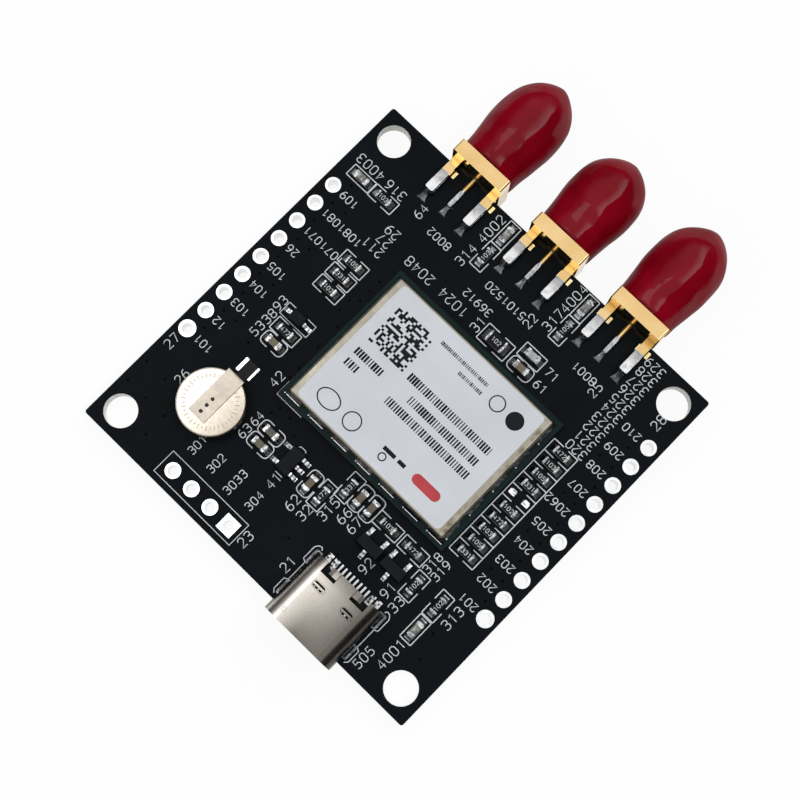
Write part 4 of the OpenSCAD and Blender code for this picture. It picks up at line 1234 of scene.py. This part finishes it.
port_low, port_high = box_mm("usb_shell")
port_x = (port_low.x + port_high.x) / 2
port_lands, port_slopes = [], []
for side in (-1, 1):
    for y in PORT_LEG_Y:
        x = port_x + side * (PORT_LEG_X + PORT_LAND_OUT)
        port_lands.append(((x, y, TOP), 0, PORT_LAND))
        port_slopes.append(((x, y, TOP), -90 * side, PORT_SLOPE))
foot_low, foot_high = box_mm("battery_top_tab")
foot_x = (foot_low.x + foot_high.x) / 2
for out, wide in FOOT_SIDES:
    place = (foot_x + out * (FOOT_HALF_W + wide / 2), foot_high.y - FOOT_LAND_L / 2, TOP)
    lands.append((place, 0, (wide, FOOT_LAND_L, FOOT_LAND_H)))

scatter("solder_joints", joints, JOINT, solder)
scatter("leg_flares", flares, FLARE, solder_dark)
scatter("tinned_lands", lands, LAND, tin, smooth=False)
scatter("port_lands", port_lands, LAND, solder_dark, smooth=False)
scatter("port_slopes", port_slopes, JOINT, solder_dark)
scatter("pin_coats", coats, LAND, solder, smooth=False)
scatter("flux_fills", fills, LAND, painted_slit_shade, "board", smooth=False)
scatter("gold_ears", ears, LAND, gold, "gold", smooth=False)

# %% [markdown]
# ## Joints on the underside
# The lower legs of the jacks and the tips of the port's legs are soldered as well. The same
# shapes serve, hung below the board by a negative height. That mirrors them, so their faces
# are turned outwards again.

# %% Underside
UNDER_FLARE = (1.3, 1.35, -0.8)
UNDER_LAND_SPARE = 0.5
UNDER_PORT_LAND = (1.05, 1.95, -LAND_T)

under_lands, under_joints, under_flares = [], [], []
for axis in jack_axes:
    for side in (-1, 1):
        leg_x = axis.x + side * LEG_SPREAD
        under_lands.append(((leg_x, LEG_EAR_Y, 0.0), 0, (LEG_W + UNDER_LAND_SPARE, LEG_EAR_L, -LAND_T)))
        under_flares.append(((leg_x, LEG_TIP + LEG_TUCK, 0.0), 180, UNDER_FLARE))
        for out in (-1, 1):
            place = (leg_x + out * LEG_W / 2, leg_mid, 0.0)
            under_joints.append((place, -90 * out, (leg_len, LEG_SIDE[0], -LEG_SIDE[1])))
for side in (-1, 1):
    for y in PORT_LEG_Y:
        under_lands.append(((port_x + side * PORT_LEG_X, y, 0.0), 0, UNDER_PORT_LAND))
face_outwards(scatter("under_joints", under_joints, JOINT, solder).data)
face_outwards(scatter("under_flares", under_flares, FLARE, solder).data)
face_outwards(scatter("under_lands", under_lands, LAND, tin, smooth=False).data)

# %% [markdown]
# ## Legend ink
# The white lines and numbers on the board look as if a plotter's pen drew them, in strokes of
# one width with round turns. Text objects would bring a font's own shapes, so all of them
# are strokes, and one tree turns strokes into flat ribbons: edges become curves, a round
# section is swept along them and pressed flat on the board.

# %% Ink tree
INK_W = 0.12
INK_FLAT = 0.2


def ink_tree():
    tree, given = geometry_tree("ink_strokes", Width="Float", Level="Float", Flat="Float")
    curve = node(tree, "GeometryNodeMeshToCurve", given["Geometry"])
    half = times(tree, given["Width"], 0.5)
    section = node(tree, "GeometryNodeCurvePrimitiveCircle", Resolution=8, Radius=half)
    sweep = node(tree, "GeometryNodeCurveToMesh", Curve=curve.outputs["Curve"],
                 Profile_Curve=section.outputs["Curve"], Fill_Caps=True)
    place = node(tree, "GeometryNodeInputPosition").outputs["Position"]
    split = node(tree, "ShaderNodeSeparateXYZ", place).outputs
    above = calc(tree, "SUBTRACT", split["Z"], given["Level"])
    low = calc(tree, "MULTIPLY_ADD", above, given["Flat"], given["Level"])
    pressed = node(tree, "ShaderNodeCombineXYZ", split["X"], split["Y"], low).outputs["Vector"]
    press = node(tree, "GeometryNodeSetPosition", Geometry=sweep.outputs["Mesh"], Position=pressed)
    return make_real(tree, given, press.outputs["Geometry"])


INK = ink_tree()
ink_white = finish("legend_ink", [(190, 195, 198), (214, 217, 219)],
                   rough=(0.5, 0.65), drift=1.2, grain=0.06, relief=0.002)


def strokes_mesh(name, strokes, level):
    """Seed mesh of pen strokes; each is a list of points, closed if it ends where it began."""
    verts, edges = [], []
    for stroke in strokes:
        closed = (Vector(stroke[0]) - Vector(stroke[-1])).length < 1e-6
        points = stroke[:-1] if closed else stroke
        first = len(verts)
        verts += [(x, y, level) for x, y in points]
        edges += [(first + k, first + k + 1) for k in range(len(points) - 1)]
        if closed:
            edges.append((first + len(points) - 1, first))
    return mesh_from(name, verts, edges=edges)


def draw_ink(name, strokes, level=TOP, width=INK_W, material=ink_white, slot="label"):
    """Draws strokes as one piece of flat ribbons."""
    return grow(name, strokes_mesh(name + "_strokes", strokes, level), INK, slot,
                Width=width * MM, Level=level * MM, Flat=INK_FLAT, Material=material)


print("Ink tree of", len(INK.nodes), "nodes")

# %% [markdown]
# ## Outlines of the small parts
# Outlines come from the same sites as the solder. Resistors have a box that is open in the
# middle of its long sides, capacitors a box with round corners, and indicators a closed box.
# The long row of resistors shares one ladder, so those are left out here.

# %% Outlines of the small parts
ROW_X = (13.03, 16.1)
ROW_Y = (-7, 9)
LARGE_FROM = 1.7
OUTLINE_ROUND = 0.08
LARGE_RESISTOR_BOX = (3.5, 1.95, 0.7)
RESISTOR_BOX = (3.05, 1.48, 0.6)
CAPACITOR_BOX = (2.8, 1.5, 0.6, 0.45)
INDUCTOR_BOX = (2.7, 1.6)
LED_BOX = (2.9, 1.38)


def shifted(points, middle):
    """Points drawn round the origin, put at a place."""
    return [(middle[0] + x, middle[1] + y) for x, y in points]


def box_strokes(length, width, gap=0.0, round_r=OUTLINE_ROUND):
    """A box round the origin, in one stroke or in two with a gap in the long sides."""
    arcs = rounded_box(length, width, round_r)
    if not gap:
        return [arcs + [arcs[0]]]
    right = [(gap / 2, -width / 2)] + arcs[:8] + [(gap / 2, width / 2)]
    left = [(-gap / 2, width / 2)] + arcs[8:] + [(-gap / 2, -width / 2)]
    return [right, left]


outlines = []


def outline(site, *box):
    """Adds a box round a small part, turned a quarter where the part is."""
    for stroke in box_strokes(*box):
        points = [(-y, x) for x, y in stroke] if site.turned else stroke
        outlines.append(shifted(points, site.middle))


for site in RESISTORS:
    in_row = ROW_X[0] < site.middle.x < ROW_X[1] and ROW_Y[0] < site.middle.y < ROW_Y[1]
    if site.length > LARGE_FROM:
        outline(site, *LARGE_RESISTOR_BOX)
    elif site.turned or not in_row:
        outline(site, *RESISTOR_BOX)
for site in CAPACITORS:
    outline(site, *CAPACITOR_BOX)
outline(INDUCTOR, *INDUCTOR_BOX)
for site in LEDS:
    outline(site, *LED_BOX)
print(len(outlines), "outline strokes round the small parts")

# %% [markdown]
# ## Outlines of the row and the larger parts
# The ladder of the long row has a gap in the middle of each rung. A box marks the rear
# header, lugs follow the port's lands, and short lines mark the regulator, the diode and one
# corner of the module. These are few and all different, so their points are written out.

# %% Outlines of the larger parts
ROW_TOP = 8.47
ROW_PITCH = 1.475
ROW_PLACES = 10
ROW_GAP = 0.6
REAR_BOX = ((-12.53, -20.83), (-2.22, -18.17))
LUG_OUT = 4.98
LUG_LINE = 4.6
DIODE_LINE = [(-0.95, 0.72), (-1.8, 0.72), (-1.8, -0.72), (1.8, -0.72), (1.8, 0.72), (0.65, 0.72)]
CORNER_OUT = 0.12

row_mid = sum(ROW_X) / 2
outlines += [[(x, ROW_TOP), (x, ROW_TOP - ROW_PLACES * ROW_PITCH)] for x in ROW_X]
for k in range(ROW_PLACES + 1):
    y = ROW_TOP - k * ROW_PITCH
    outlines.append([(ROW_X[0], y), (row_mid - ROW_GAP / 2, y)])
    outlines.append([(row_mid + ROW_GAP / 2, y), (ROW_X[1], y)])
(x0, y0), (x1, y1) = REAR_BOX
outlines.append([(x0, y0), (x1, y0), (x1, y1), (x0, y1), (x0, y0)])
for side in (-1, 1):
    lug = port_x + side * LUG_OUT
    line = port_x + side * LUG_LINE
    outlines.append([(line, -19.15), (line, -16.9)])
    outlines.append([(line, -16.9), (lug, -16.7), (lug, -15.2), (lug - side * 0.25, -14.85),
                     (line - side * 0.2, -14.75), (line - side * 0.4, -15.0)])
    outlines.append([(line, -19.15), (lug, -19.35), (lug, -20.7), (lug - side * 0.3, -21.05)])
low, high = box_mm("regulator_body")
for y, dip in ((high.y + 0.28, 0.15), (low.y - 0.22, 0.0)):
    outlines.append(shifted([(-0.45, -dip), (-0.3, 0), (0.3, 0), (0.45, -dip)], ((low.x + high.x) / 2, y)))
low, high = box_mm("diode_body")
outlines.append(shifted(DIODE_LINE, (low + high) / 2))
low, high = box_mm("module_substrate")
outlines.append(shifted([(-CORNER_OUT, 1.6), (-CORNER_OUT, -CORNER_OUT), (3.2, -CORNER_OUT)], low))
draw_ink("legend_outlines", outlines)

# %% [markdown]
# ## Digits
# The legend is generic: numbers only. A font would do, but a plotter draws with a pen, so
# each digit is one or two strokes in a box 0.6 wide and 1 high, which are then scaled, turned
# and placed.

# %% Digits
DIGITS = {
    "0": [[(0, .2), (0, .8), (.15, 1), (.45, 1), (.6, .8), (.6, .2), (.45, 0), (.15, 0), (0, .2)]],
    "1": [[(.1, .8), (.35, 1), (.35, 0)]],
    "2": [[(0, .8), (.15, 1), (.45, 1), (.6, .8), (.6, .62), (0, 0), (.6, 0)]],
    "3": [[(0, .9), (.15, 1), (.45, 1), (.6, .85), (.6, .66), (.42, .53), (.2, .53)],
          [(.42, .53), (.6, .4), (.6, .16), (.45, 0), (.15, 0), (0, .1)]],
    "4": [[(.45, 0), (.45, 1), (0, .3), (.6, .3)]],
    "5": [[(.55, 1), (.08, 1), (.03, .55), (.4, .6), (.6, .42), (.6, .18), (.42, 0), (.15, 0), (0, .1)]],
    "6": [[(.5, 1), (.2, .9), (0, .5), (0, .2), (.15, 0), (.45, 0), (.6, .2), (.6, .4), (.45, .56),
           (.15, .56), (0, .4)]],
    "7": [[(0, 1), (.6, 1), (.2, 0)]],
    "8": [[(.15, .53), (0, .66), (0, .86), (.15, 1), (.45, 1), (.6, .86), (.6, .66), (.45, .53),
           (.15, .53)],
          [(.15, .53), (0, .38), (0, .15), (.15, 0), (.45, 0), (.6, .15), (.6, .38), (.45, .53)]],
    "9": [[(.1, 0), (.4, .1), (.6, .5), (.6, .8), (.45, 1), (.15, 1), (0, .8), (0, .6), (.15, .44),
           (.45, .44), (.6, .6)]],
    " ": [],
}
DIGIT_W = 0.6
DIGIT_STEP = 0.92


def number_width(text):
    """Width of a number of height 1."""
    return DIGIT_STEP * (len(text) - 1) + DIGIT_W


def number_strokes(text, x, y, turn, height):
    """Pen strokes of a number centred on a place, turned by so many degrees."""
    cos, sin = math.cos(math.radians(turn)), math.sin(math.radians(turn))
    strokes = []
    for k, digit in enumerate(text):
        for stroke in DIGITS[digit]:
            points = []
            for px, py in stroke:
                u = (px + k * DIGIT_STEP - number_width(text) / 2) * height
                v = (py - 0.5) * height
                points.append((x + u * cos - v * sin, y + u * sin + v * cos))
            strokes.append(points)
    return strokes


print(len(DIGITS) - 1, "digits,", sum(len(strokes) for strokes in DIGITS.values()), "strokes")

# %% [markdown]
# ## Numbers on the board
# Part numbers stand beside the parts, pin numbers along the header rows, and a column of
# ten belongs to the long row. Rows and the column follow from a pitch, so they are loops. The
# part numbers follow no rule, so each has its own place, turn and height.

# %% Numbers
PART_NUMBERS = [
    ("4003", -18.8, 15.5, 180, 0.95), ("316", -15.35, 15.5, 180, 0.95), ("64", -12.05, 15.7, 90, 0.9),
    ("29", -12.55, 12.2, 180, 0.95), ("27", -12.55, 11.0, 180, 0.95), ("211", -12.9, 9.75, 180, 0.95),
    ("8002", -8.8, 14.95, 180, 0.8), ("4002", -5.8, 19.3, 90, 0.95), ("314", -5.8, 15.65, 90, 0.95),
    ("1024 2048", -5.65, 11.3, 180, 1.0), ("36912", -1.6, 12.95, 180, 0.8), ("5101520", 0.2, 15.0, 180, 0.8),
    ("31", -0.1, 11.4, 90, 0.95), ("22", 3.35, 15.2, 90, 0.9), ("317", 4.9, 16.85, 90, 0.95),
    ("4004", 4.9, 19.85, 90, 0.95), ("71", 8.55, 12.8, 0, 0.85), ("61", 8.55, 11.15, 0, 0.85),
    ("8001", 10.75, 15.1, 180, 0.8), ("25", 12.6, 14.65, 90, 0.9), ("28", 19.2, 16.6, 90, 0.95),
    ("53", -15.3, -4.0, 90, 0.9), ("38", -15.3, -2.3, 90, 0.9), ("93", -15.45, -0.6, 90, 0.9),
    ("42", -10.35, -6.2, 90, 0.95), ("64", -9.0, -10.3, 90, 0.85), ("63", -9.0, -12.0, 90, 0.85),
    ("41", -3.55, -13.5, 90, 0.95), ("62", -0.75, -13.7, 90, 0.95), ("32", 0.75, -13.6, 90, 0.95),
    ("315", 2.2, -11.75, 90, 0.95), ("66", 3.7, -11.15, 90, 0.95), ("67", 5.05, -11.15, 90, 0.95),
    ("92", 8.6, -13.1, 90, 0.95), ("91", 11.7, -13.3, 90, 0.95), ("33", 13.2, -13.7, 90, 0.95),
    ("318", 12.95, -8.45, 90, 0.85), ("319", 14.05, -8.45, 90, 0.85), ("313", 17.95, -10.9, 90, 0.95),
    ("4001", 16.1, -17.4, 90, 0.95), ("505", 14.45, -19.4, 90, 0.9), ("21", 3.1, -18.2, 90, 0.95),
    ("27", -20.4, -10.7, 90, 0.95), ("26", -17.15, -12.5, 90, 0.9), ("23", -1.5, -19.35, 90, 0.95),
]
SIDE_ROW_Y = -8.75
HEADER_PITCH = 2.54
LEFT_PINS = ["101", "12", "103", "104", "105", "26", "1071071", "1081081", "109"]
RIGHT_PINS = ["201", "202", "203", "204", "205", "2062", "207", "208", "209", "210"]
REAR_PINS = ["301", "302", "3033", "304"]
PIN_H = 0.8
PIN_TEXT_X = 18.95
REAR_TEXT = (-11.3, -16.15)
REAR_STEP = 2.6
COLUMN_FROM = 320
COLUMN_AT = (15.3, 9.1)
COLUMN_STEP = 1.25
COLUMN_H = 0.9
NUMBER_INK_W = 0.11

numbers = []
for text, x, y, turn, height in PART_NUMBERS:
    numbers += number_strokes(text, x, y, turn, height)
for side, pins in ((-1, LEFT_PINS), (1, RIGHT_PINS)):
    for k, text in enumerate(pins):
        x = side * (PIN_TEXT_X - number_width(text) * PIN_H / 2)
        numbers += number_strokes(text, x, SIDE_ROW_Y + k * HEADER_PITCH, 180, PIN_H)
for k, text in enumerate(REAR_PINS):
    numbers += number_strokes(text, REAR_TEXT[0] + k * REAR_STEP, REAR_TEXT[1], 90, PIN_H)
for k in range(ROW_PLACES):
    y = COLUMN_AT[1] + k * COLUMN_STEP
    numbers += number_strokes(str(COLUMN_FROM + k), COLUMN_AT[0], y, 180, COLUMN_H)
draw_ink("legend_numbers", numbers, width=NUMBER_INK_W)

# %% [markdown]
# ## Resistor codes
# Each resistor has a three-digit value printed on its dark coat. The pen strokes serve again,
# smaller and higher up.

# %% Resistor codes
CODES = ["103", "472", "102", "331", "105"]
CODE_H = 0.42
CODE_W = 0.07

coat_top = box_mm("resistor_coats")[1].z
codes = []
for k, site in enumerate(RESISTORS):
    turn = 90 if site.turned else 0
    codes += number_strokes(CODES[k % len(CODES)], site.middle.x, site.middle.y, turn, CODE_H)
draw_ink("resistor_codes", codes, coat_top, CODE_W, slot="alumina")

# %% [markdown]
# ## Tented holes
# Small plated holes that are closed by the varnish show as dots, a little darker and
# sunk. One stands between each two header pins, and some lie along the module and in the
# rear corner. They are too shallow to cut: points and a low dished cushion are enough.

# %% Tented holes
VIA_SIZE = (0.28, 0.28, 0.012)
VIA_X = 19.05
VIA_STAGGER = 0.12
VIA_SHARE = 0.48
INNER_VIA_X = 17.3
INNER_VIA_SHARE = 0.52
RING_TURNS = 14
RING_PROFILE = ((0.5, 0.0), (0.42, 0.8), (0.3, 1.0), (0.15, 0.5))
VIAS = [
    (-20.7, -11.3), (-20.7, -13.8), (-18.2, -13.8), (-20.7, -16.4), (-18.2, -16.4), (-15.6, -16.4),
    (-15.6, -18.9), (-14.9, -5.6), (-9.75, 1.6), (-9.75, -1.1), (-11.4, -3.3), (-10.8, 4.3),
    (-10.8, 3.0), (-10.0, 6.4), (-10.0, 7.7), (-10.0, 5.0), (-8.1, -8.05), (-6.7, -8.05),
    (-8.4, -8.95), (-5.2, -9.0), (-9.6, -3.95), (-9.6, -5.2), (12.2, 14.6), (17.6, -13.2),
    (18.4, -15.8), (1.4, -16.4), (-6.9, -14.6), (5.9, -14.2),
]


def ring_shape():
    """Low round cushion of unit size with a dished middle."""
    verts, faces = [], []
    for radius, height in RING_PROFILE:
        for k in range(RING_TURNS):
            angle = 2 * math.pi * k / RING_TURNS
            verts.append((radius * math.cos(angle), radius * math.sin(angle), height))
    for ring in range(len(RING_PROFILE) - 1):
        for k in range(RING_TURNS):
            a = ring * RING_TURNS + k
            b = ring * RING_TURNS + (k + 1) % RING_TURNS
            faces.append((a, b, b + RING_TURNS, a + RING_TURNS))
    faces.append(tuple(range(len(verts) - RING_TURNS, len(verts))))
    faces.append(tuple(reversed(range(RING_TURNS))))
    return unit_object("ring_shape", verts, faces)


via_dark = finish("tented_hole", [(1, 2, 3), (4, 5, 7)],
                  rough=(0.4, 0.6), drift=0.3, grain=0.08, relief=0.001, Specular_IOR_Level=0.02)
vias = []
for side in (-1, 1):
    for k in range(len(LEFT_PINS)):
        vias.append((side * (VIA_X - VIA_STAGGER * (k % 3)), SIDE_ROW_Y + (k + VIA_SHARE) * HEADER_PITCH))
        if k % 2:
            vias.append((side * INNER_VIA_X, SIDE_ROW_Y + (k + INNER_VIA_SHARE) * HEADER_PITCH))
via_places = [((x, y, TOP), 0, VIA_SIZE) for x, y in vias + VIAS]
scatter("tented_holes", via_places, ring_shape(), via_dark, "board")

# %% [markdown]
# ## Solder beads on the shield
# The shield is held by dashes of solder that are CAD solids. Where a dash runs out on the
# small board its solder turns flat and catches the light as a thin line, and one end draws
# up into a bright bead. The pen serves for the lines and a pressed ball for the beads.

# %% Beads
BEAD_IN = 0.1
BEAD_UP = 0.02
FRONT_BEAD = (0.24, 0.2, 0.14)
SIDE_BEAD = (0.16, 0.2, 0.1)
RIM_UP = 0.015
RIM_W = 0.09


def bead_shape():
    """Ball of unit size."""
    bm = bmesh.new()
    bmesh.ops.create_uvsphere(bm, u_segments=12, v_segments=8, radius=0.5)
    mesh = bpy.data.meshes.new("bead_shape")
    bm.to_mesh(mesh)
    bm.free()
    return bpy.data.objects.new("bead_shape", mesh)


beads, rims = [], []
dashes = islands("module_solder")
for low, high in dashes:
    size = high - low
    if size.x > size.y and low.y < 0:
        beads.append(((low.x + BEAD_IN, low.y, low.z + BEAD_UP), 0, FRONT_BEAD))
        rims.append([(low.x + 3 * BEAD_IN, low.y), (high.x - BEAD_IN, low.y)])
    elif size.y > size.x and low.x > 0:
        beads.append(((high.x, low.y + BEAD_IN, low.z + BEAD_UP), 0, SIDE_BEAD))
scatter("shield_beads", beads, bead_shape(), tin)
draw_ink("shield_rims", rims, dashes[0][0].z + RIM_UP, RIM_W, tin, "tin")

# %% [markdown]
# ## Dimples of the port
# The holes in the port's roof were punched and coined, so a raised rim runs round each, and
# a small round dimple sits near the front. The rims follow the holes, so the pen can draw
# them in the shell's own metal.

# %% Port rims
DIMPLE = (1.4, 0.6)
DIMPLE_X = 1.8
DIMPLE_Y = -17.62
DIMPLE_RIM = 0.16
DIMPLE_RIM_W = 0.1
FRONT_DIMPLE = (6.0, -21.3)
FRONT_DIMPLE_D = 0.42
FRONT_DIMPLE_W = 0.07

port_rims = []
for side in (-1, 1):
    rim = box_strokes(DIMPLE[0] + DIMPLE_RIM, DIMPLE[1] + DIMPLE_RIM, round_r=DIMPLE[1] / 2 + 0.07)[0]
    port_rims.append(shifted(rim, (port_x + side * DIMPLE_X, DIMPLE_Y)))
draw_ink("dimple_rims", port_rims, port_high.z, DIMPLE_RIM_W, nickel, "nickel")
ring = box_strokes(FRONT_DIMPLE_D, FRONT_DIMPLE_D, round_r=FRONT_DIMPLE_D / 2 - 0.01)[0]
draw_ink("front_dimple", [shifted(ring, FRONT_DIMPLE)], port_high.z, FRONT_DIMPLE_W, nickel, "nickel")

# %% [markdown]
# ## Marks on the cell
# The strip is welded to the cell by three spots that burned dark, and along its edge a gap
# shows as a dark line of painted shade. A ring of plain ticks is stamped into the rim of the
# can. Cutting such shallow marks would cost many faces, so all of them are pen strokes and
# dots in dull tones: the welds and the gap share the dark tone of the burn, and the ticks are
# painted shade of the stamping.

# %% Cell marks
STRIP_HALF = 1.02
STRIP_START = -14.25
STRIP_GAP_W = 0.06
TICKS = 40
TICK_W = 0.09
LONG_TICK = (0.7, 0.84)
SHORT_TICK = (0.72, 0.8)
TICK_FREE = 0.2
WELD_Y = (-13.63, -12.83, -12.03)
WELD_SIZE = (0.39, 0.39, 0.03)
WELD_SUNK = 0.065

burn_and_gap_shade = finish("weld_burn_and_gap_shade", [(12, 10, 9), (30, 25, 21)],
               rough=(0.4, 0.6), drift=0.2, grain=0.08, relief=0.002)
stamp = finish("stamp_shade", [(176, 167, 152), (198, 189, 174)],
               rough=(0.4, 0.55), drift=0.6, grain=0.1, relief=0.001, Metallic=0.8)
low, high = box_mm("battery_cell")
cell_mid = (low + high) / 2
cell_r = (high.x - low.x) / 2
edge_y = cell_mid.y + math.sqrt(cell_r ** 2 - STRIP_HALF ** 2)
strip = [(cell_mid.x - STRIP_HALF, edge_y), (cell_mid.x - STRIP_HALF, STRIP_START),
         (cell_mid.x + STRIP_HALF, STRIP_START), (cell_mid.x + STRIP_HALF, edge_y)]
# Painted shade: a dark line along the strip's edge.
draw_ink("strip_gap", [strip], high.z, STRIP_GAP_W, burn_and_gap_shade, "shield")
ticks = []
for k in range(TICKS):
    angle = 2 * math.pi * k / TICKS
    way = Vector((math.cos(angle), math.sin(angle)))
    if abs(way.x) * cell_r * SHORT_TICK[1] > STRIP_HALF + TICK_FREE or way.y < -SHORT_TICK[1]:
        inner, outer = SHORT_TICK if k % 2 else LONG_TICK
        ticks.append([cell_mid.xy + way * cell_r * inner, cell_mid.xy + way * cell_r * outer])
# Painted shade of the stamped ticks.
draw_ink("cell_ticks", ticks, high.z, TICK_W, stamp, "shield")
welds = [((cell_mid.x, y, foot_high.z - WELD_SUNK), 0, WELD_SIZE) for y in WELD_Y]
scatter("weld_spots", welds, ring_shape(), burn_and_gap_shade, "shield")

# %% [markdown]
# ## The block on the label
# The label carries only generic marks. One is a block of random squares: a grid whose points
# are thinned by a seeded random choice, with a small square on each that is left. A tree with
# a seed gives the same block each time.

# %% Label block
PRINT_LIFT = 0.012
BLOCK_CELLS = 18
BLOCK_KEPT = 0.48
BLOCK_MID = (-4.1, 4.8)
BLOCK_SIDE = 4.35
BLOCK_CELL = BLOCK_SIDE / (BLOCK_CELLS - 1) * 1.02
BLOCK_SEED = 4

label_top = box_mm("module_label")[1].z
PRINT_Z = label_top + PRINT_LIFT / 2
print_black = finish("print_black", [(15, 17, 21), (24, 26, 30)],
                     rough=(0.4, 0.55), drift=1.5, grain=0.06, relief=0.001, Specular_IOR_Level=0.1)


def block_tree():
    tree, given = geometry_tree("random_block", Side="Float", Cell="Float", Seed="Int")
    grid = node(tree, "GeometryNodeMeshGrid", given["Side"], given["Side"], BLOCK_CELLS, BLOCK_CELLS)
    chance = node(tree, "FunctionNodeRandomValue", data_type="BOOLEAN", Probability=1.0 - BLOCK_KEPT,
                  Seed=given["Seed"])
    thin = node(tree, "GeometryNodeDeleteGeometry", grid.outputs["Mesh"], chance.outputs[3], domain="POINT")
    square = node(tree, "GeometryNodeMeshGrid", given["Cell"], given["Cell"], 2, 2)
    squares = on_points(tree, thin.outputs["Geometry"], square.outputs["Mesh"])
    return make_real(tree, given, on_points(tree, given["Geometry"], squares))


grow("label_block", mesh_from("block_place", [(*BLOCK_MID, PRINT_Z)]), block_tree(), "coat", smooth=False,
     Side=BLOCK_SIDE * MM, Cell=BLOCK_CELL * MM, Seed=BLOCK_SEED, Material=print_black)

# %% [markdown]
# ## Rows of bars on the label
# Rows of bars fill most of the label. Drawing each bar would be slow, so a row is a line of
# points with a bar on each, whose width a seeded random value sets. One tree then serves all
# rows with their own count, pitch, height and seed.

# %% Label bars
BAR_ROWS = [
    (-0.95, 2.73, 36, 0.3, 0.85), (0.6, 1.1, 30, 0.3, 0.85), (-0.95, -0.42, 36, 0.3, 0.85),
    (-6.4, 1.0, 11, 0.32, 0.8), (-6.4, -0.42, 5, 0.32, 0.8),
    (-1.05, 7.25, 31, 0.2, 0.4), (2.2, 6.25, 15, 0.2, 0.4),
]
BAR_WIDTHS = (0.25, 0.8)


def bars_tree():
    tree, given = geometry_tree("bar_row", Count="Int", Pitch="Float", Height="Float", Seed="Int")
    step = node(tree, "ShaderNodeCombineXYZ", X=given["Pitch"])
    row = node(tree, "GeometryNodeMeshLine", Count=given["Count"], Offset=step.outputs["Vector"])
    bar = node(tree, "GeometryNodeMeshGrid", given["Pitch"], given["Height"], 2, 2)
    width = node(tree, "FunctionNodeRandomValue", None, None, *BAR_WIDTHS, data_type="FLOAT",
                 Seed=given["Seed"])
    scale = node(tree, "ShaderNodeCombineXYZ", width.outputs[1], 1.0, 1.0)
    bars = on_points(tree, row.outputs["Mesh"], bar.outputs["Mesh"], Scale=scale.outputs["Vector"])
    return make_real(tree, given, on_points(tree, given["Geometry"], bars))


BARS = bars_tree()
for k, (x, y, count, pitch, height) in enumerate(BAR_ROWS):
    grow(f"label_bars_{k + 1}", mesh_from("bar_place", [(x, y, PRINT_Z)]), BARS, "coat", smooth=False,
         Count=count, Pitch=pitch * MM, Height=height * MM, Seed=k, Material=print_black)

# %% [markdown]
# ## Rings, dots and a stripe on the label
# A dot marks the first pin, and rings, dashes and a red stripe with round ends fill the
# corners. The pen draws the rings. The rest are filled, so they are flat faces just above
# the film.

# %% Label marks
RINGS = [
    (6.87, 6.66, 0.78, 0.78), (-5.0, -4.26, 1.28, 0.92), (-1.9, -4.26, 0.92, 0.92), (2.53, -4.7, 0.38, 0.38),
]
RING_W = 0.13
ELLIPSE_TURNS = 48
FIRST_PIN_DOT = (9.23, 6.59, 0.92, 0.92)
DASHES = [(2.75, -3.9, 1.5, 0.42), (4.35, -3.9, 0.9, 0.42)]
STRIPE_MID = (7.6, -3.9)
STRIPE = (3.4, 1.1)


def ellipse(x, y, rx, ry):
    """Points of an ellipse."""
    turns = [2 * math.pi * k / ELLIPSE_TURNS for k in range(ELLIPSE_TURNS)]
    return [(x + rx * math.cos(turn), y + ry * math.sin(turn)) for turn in turns]


def rectangle(x, y, wide, high):
    """Corners of an upright box."""
    sides = ((-1, -1), (1, -1), (1, 1), (-1, 1))
    return [(x + right * wide / 2, y + up * high / 2) for right, up in sides]


def flat_print(name, shapes, material):
    """Flat print from closed outlines."""
    verts, faces = [], []
    for shape in shapes:
        faces.append(tuple(range(len(verts), len(verts) + len(shape))))
        verts += [(x, y, PRINT_Z) for x, y in shape]
    add_piece(name, mesh_from(name, verts, faces, material=material), "board")
    print(name, len(faces), "faces")


print_red = finish("print_red", [(172, 32, 44), (190, 46, 56)],
                   rough=(0.4, 0.55), drift=1.5, grain=0.06, relief=0.001)
rings = [ellipse(*ring) for ring in RINGS]
draw_ink("label_rings", [ring + [ring[0]] for ring in rings], label_top, RING_W, print_black, "coat")
marks = [ellipse(*FIRST_PIN_DOT)] + [rectangle(*dash) for dash in DASHES]
flat_print("label_marks", marks, print_black)
stripe = rounded_box(*STRIPE, STRIPE[1] / 2 - 0.01)
flat_print("label_stripe", [shifted(stripe, STRIPE_MID)], print_red)

# %% [markdown]
# ## Sizes
# Nothing added is meant to make the object larger than its CAD solids, so the box round
# everything that is shown is printed in millimetres.

# %% Sizes
low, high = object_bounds()
print("Visual box in mm:", [round(v / MM, 2) for v in high - low])
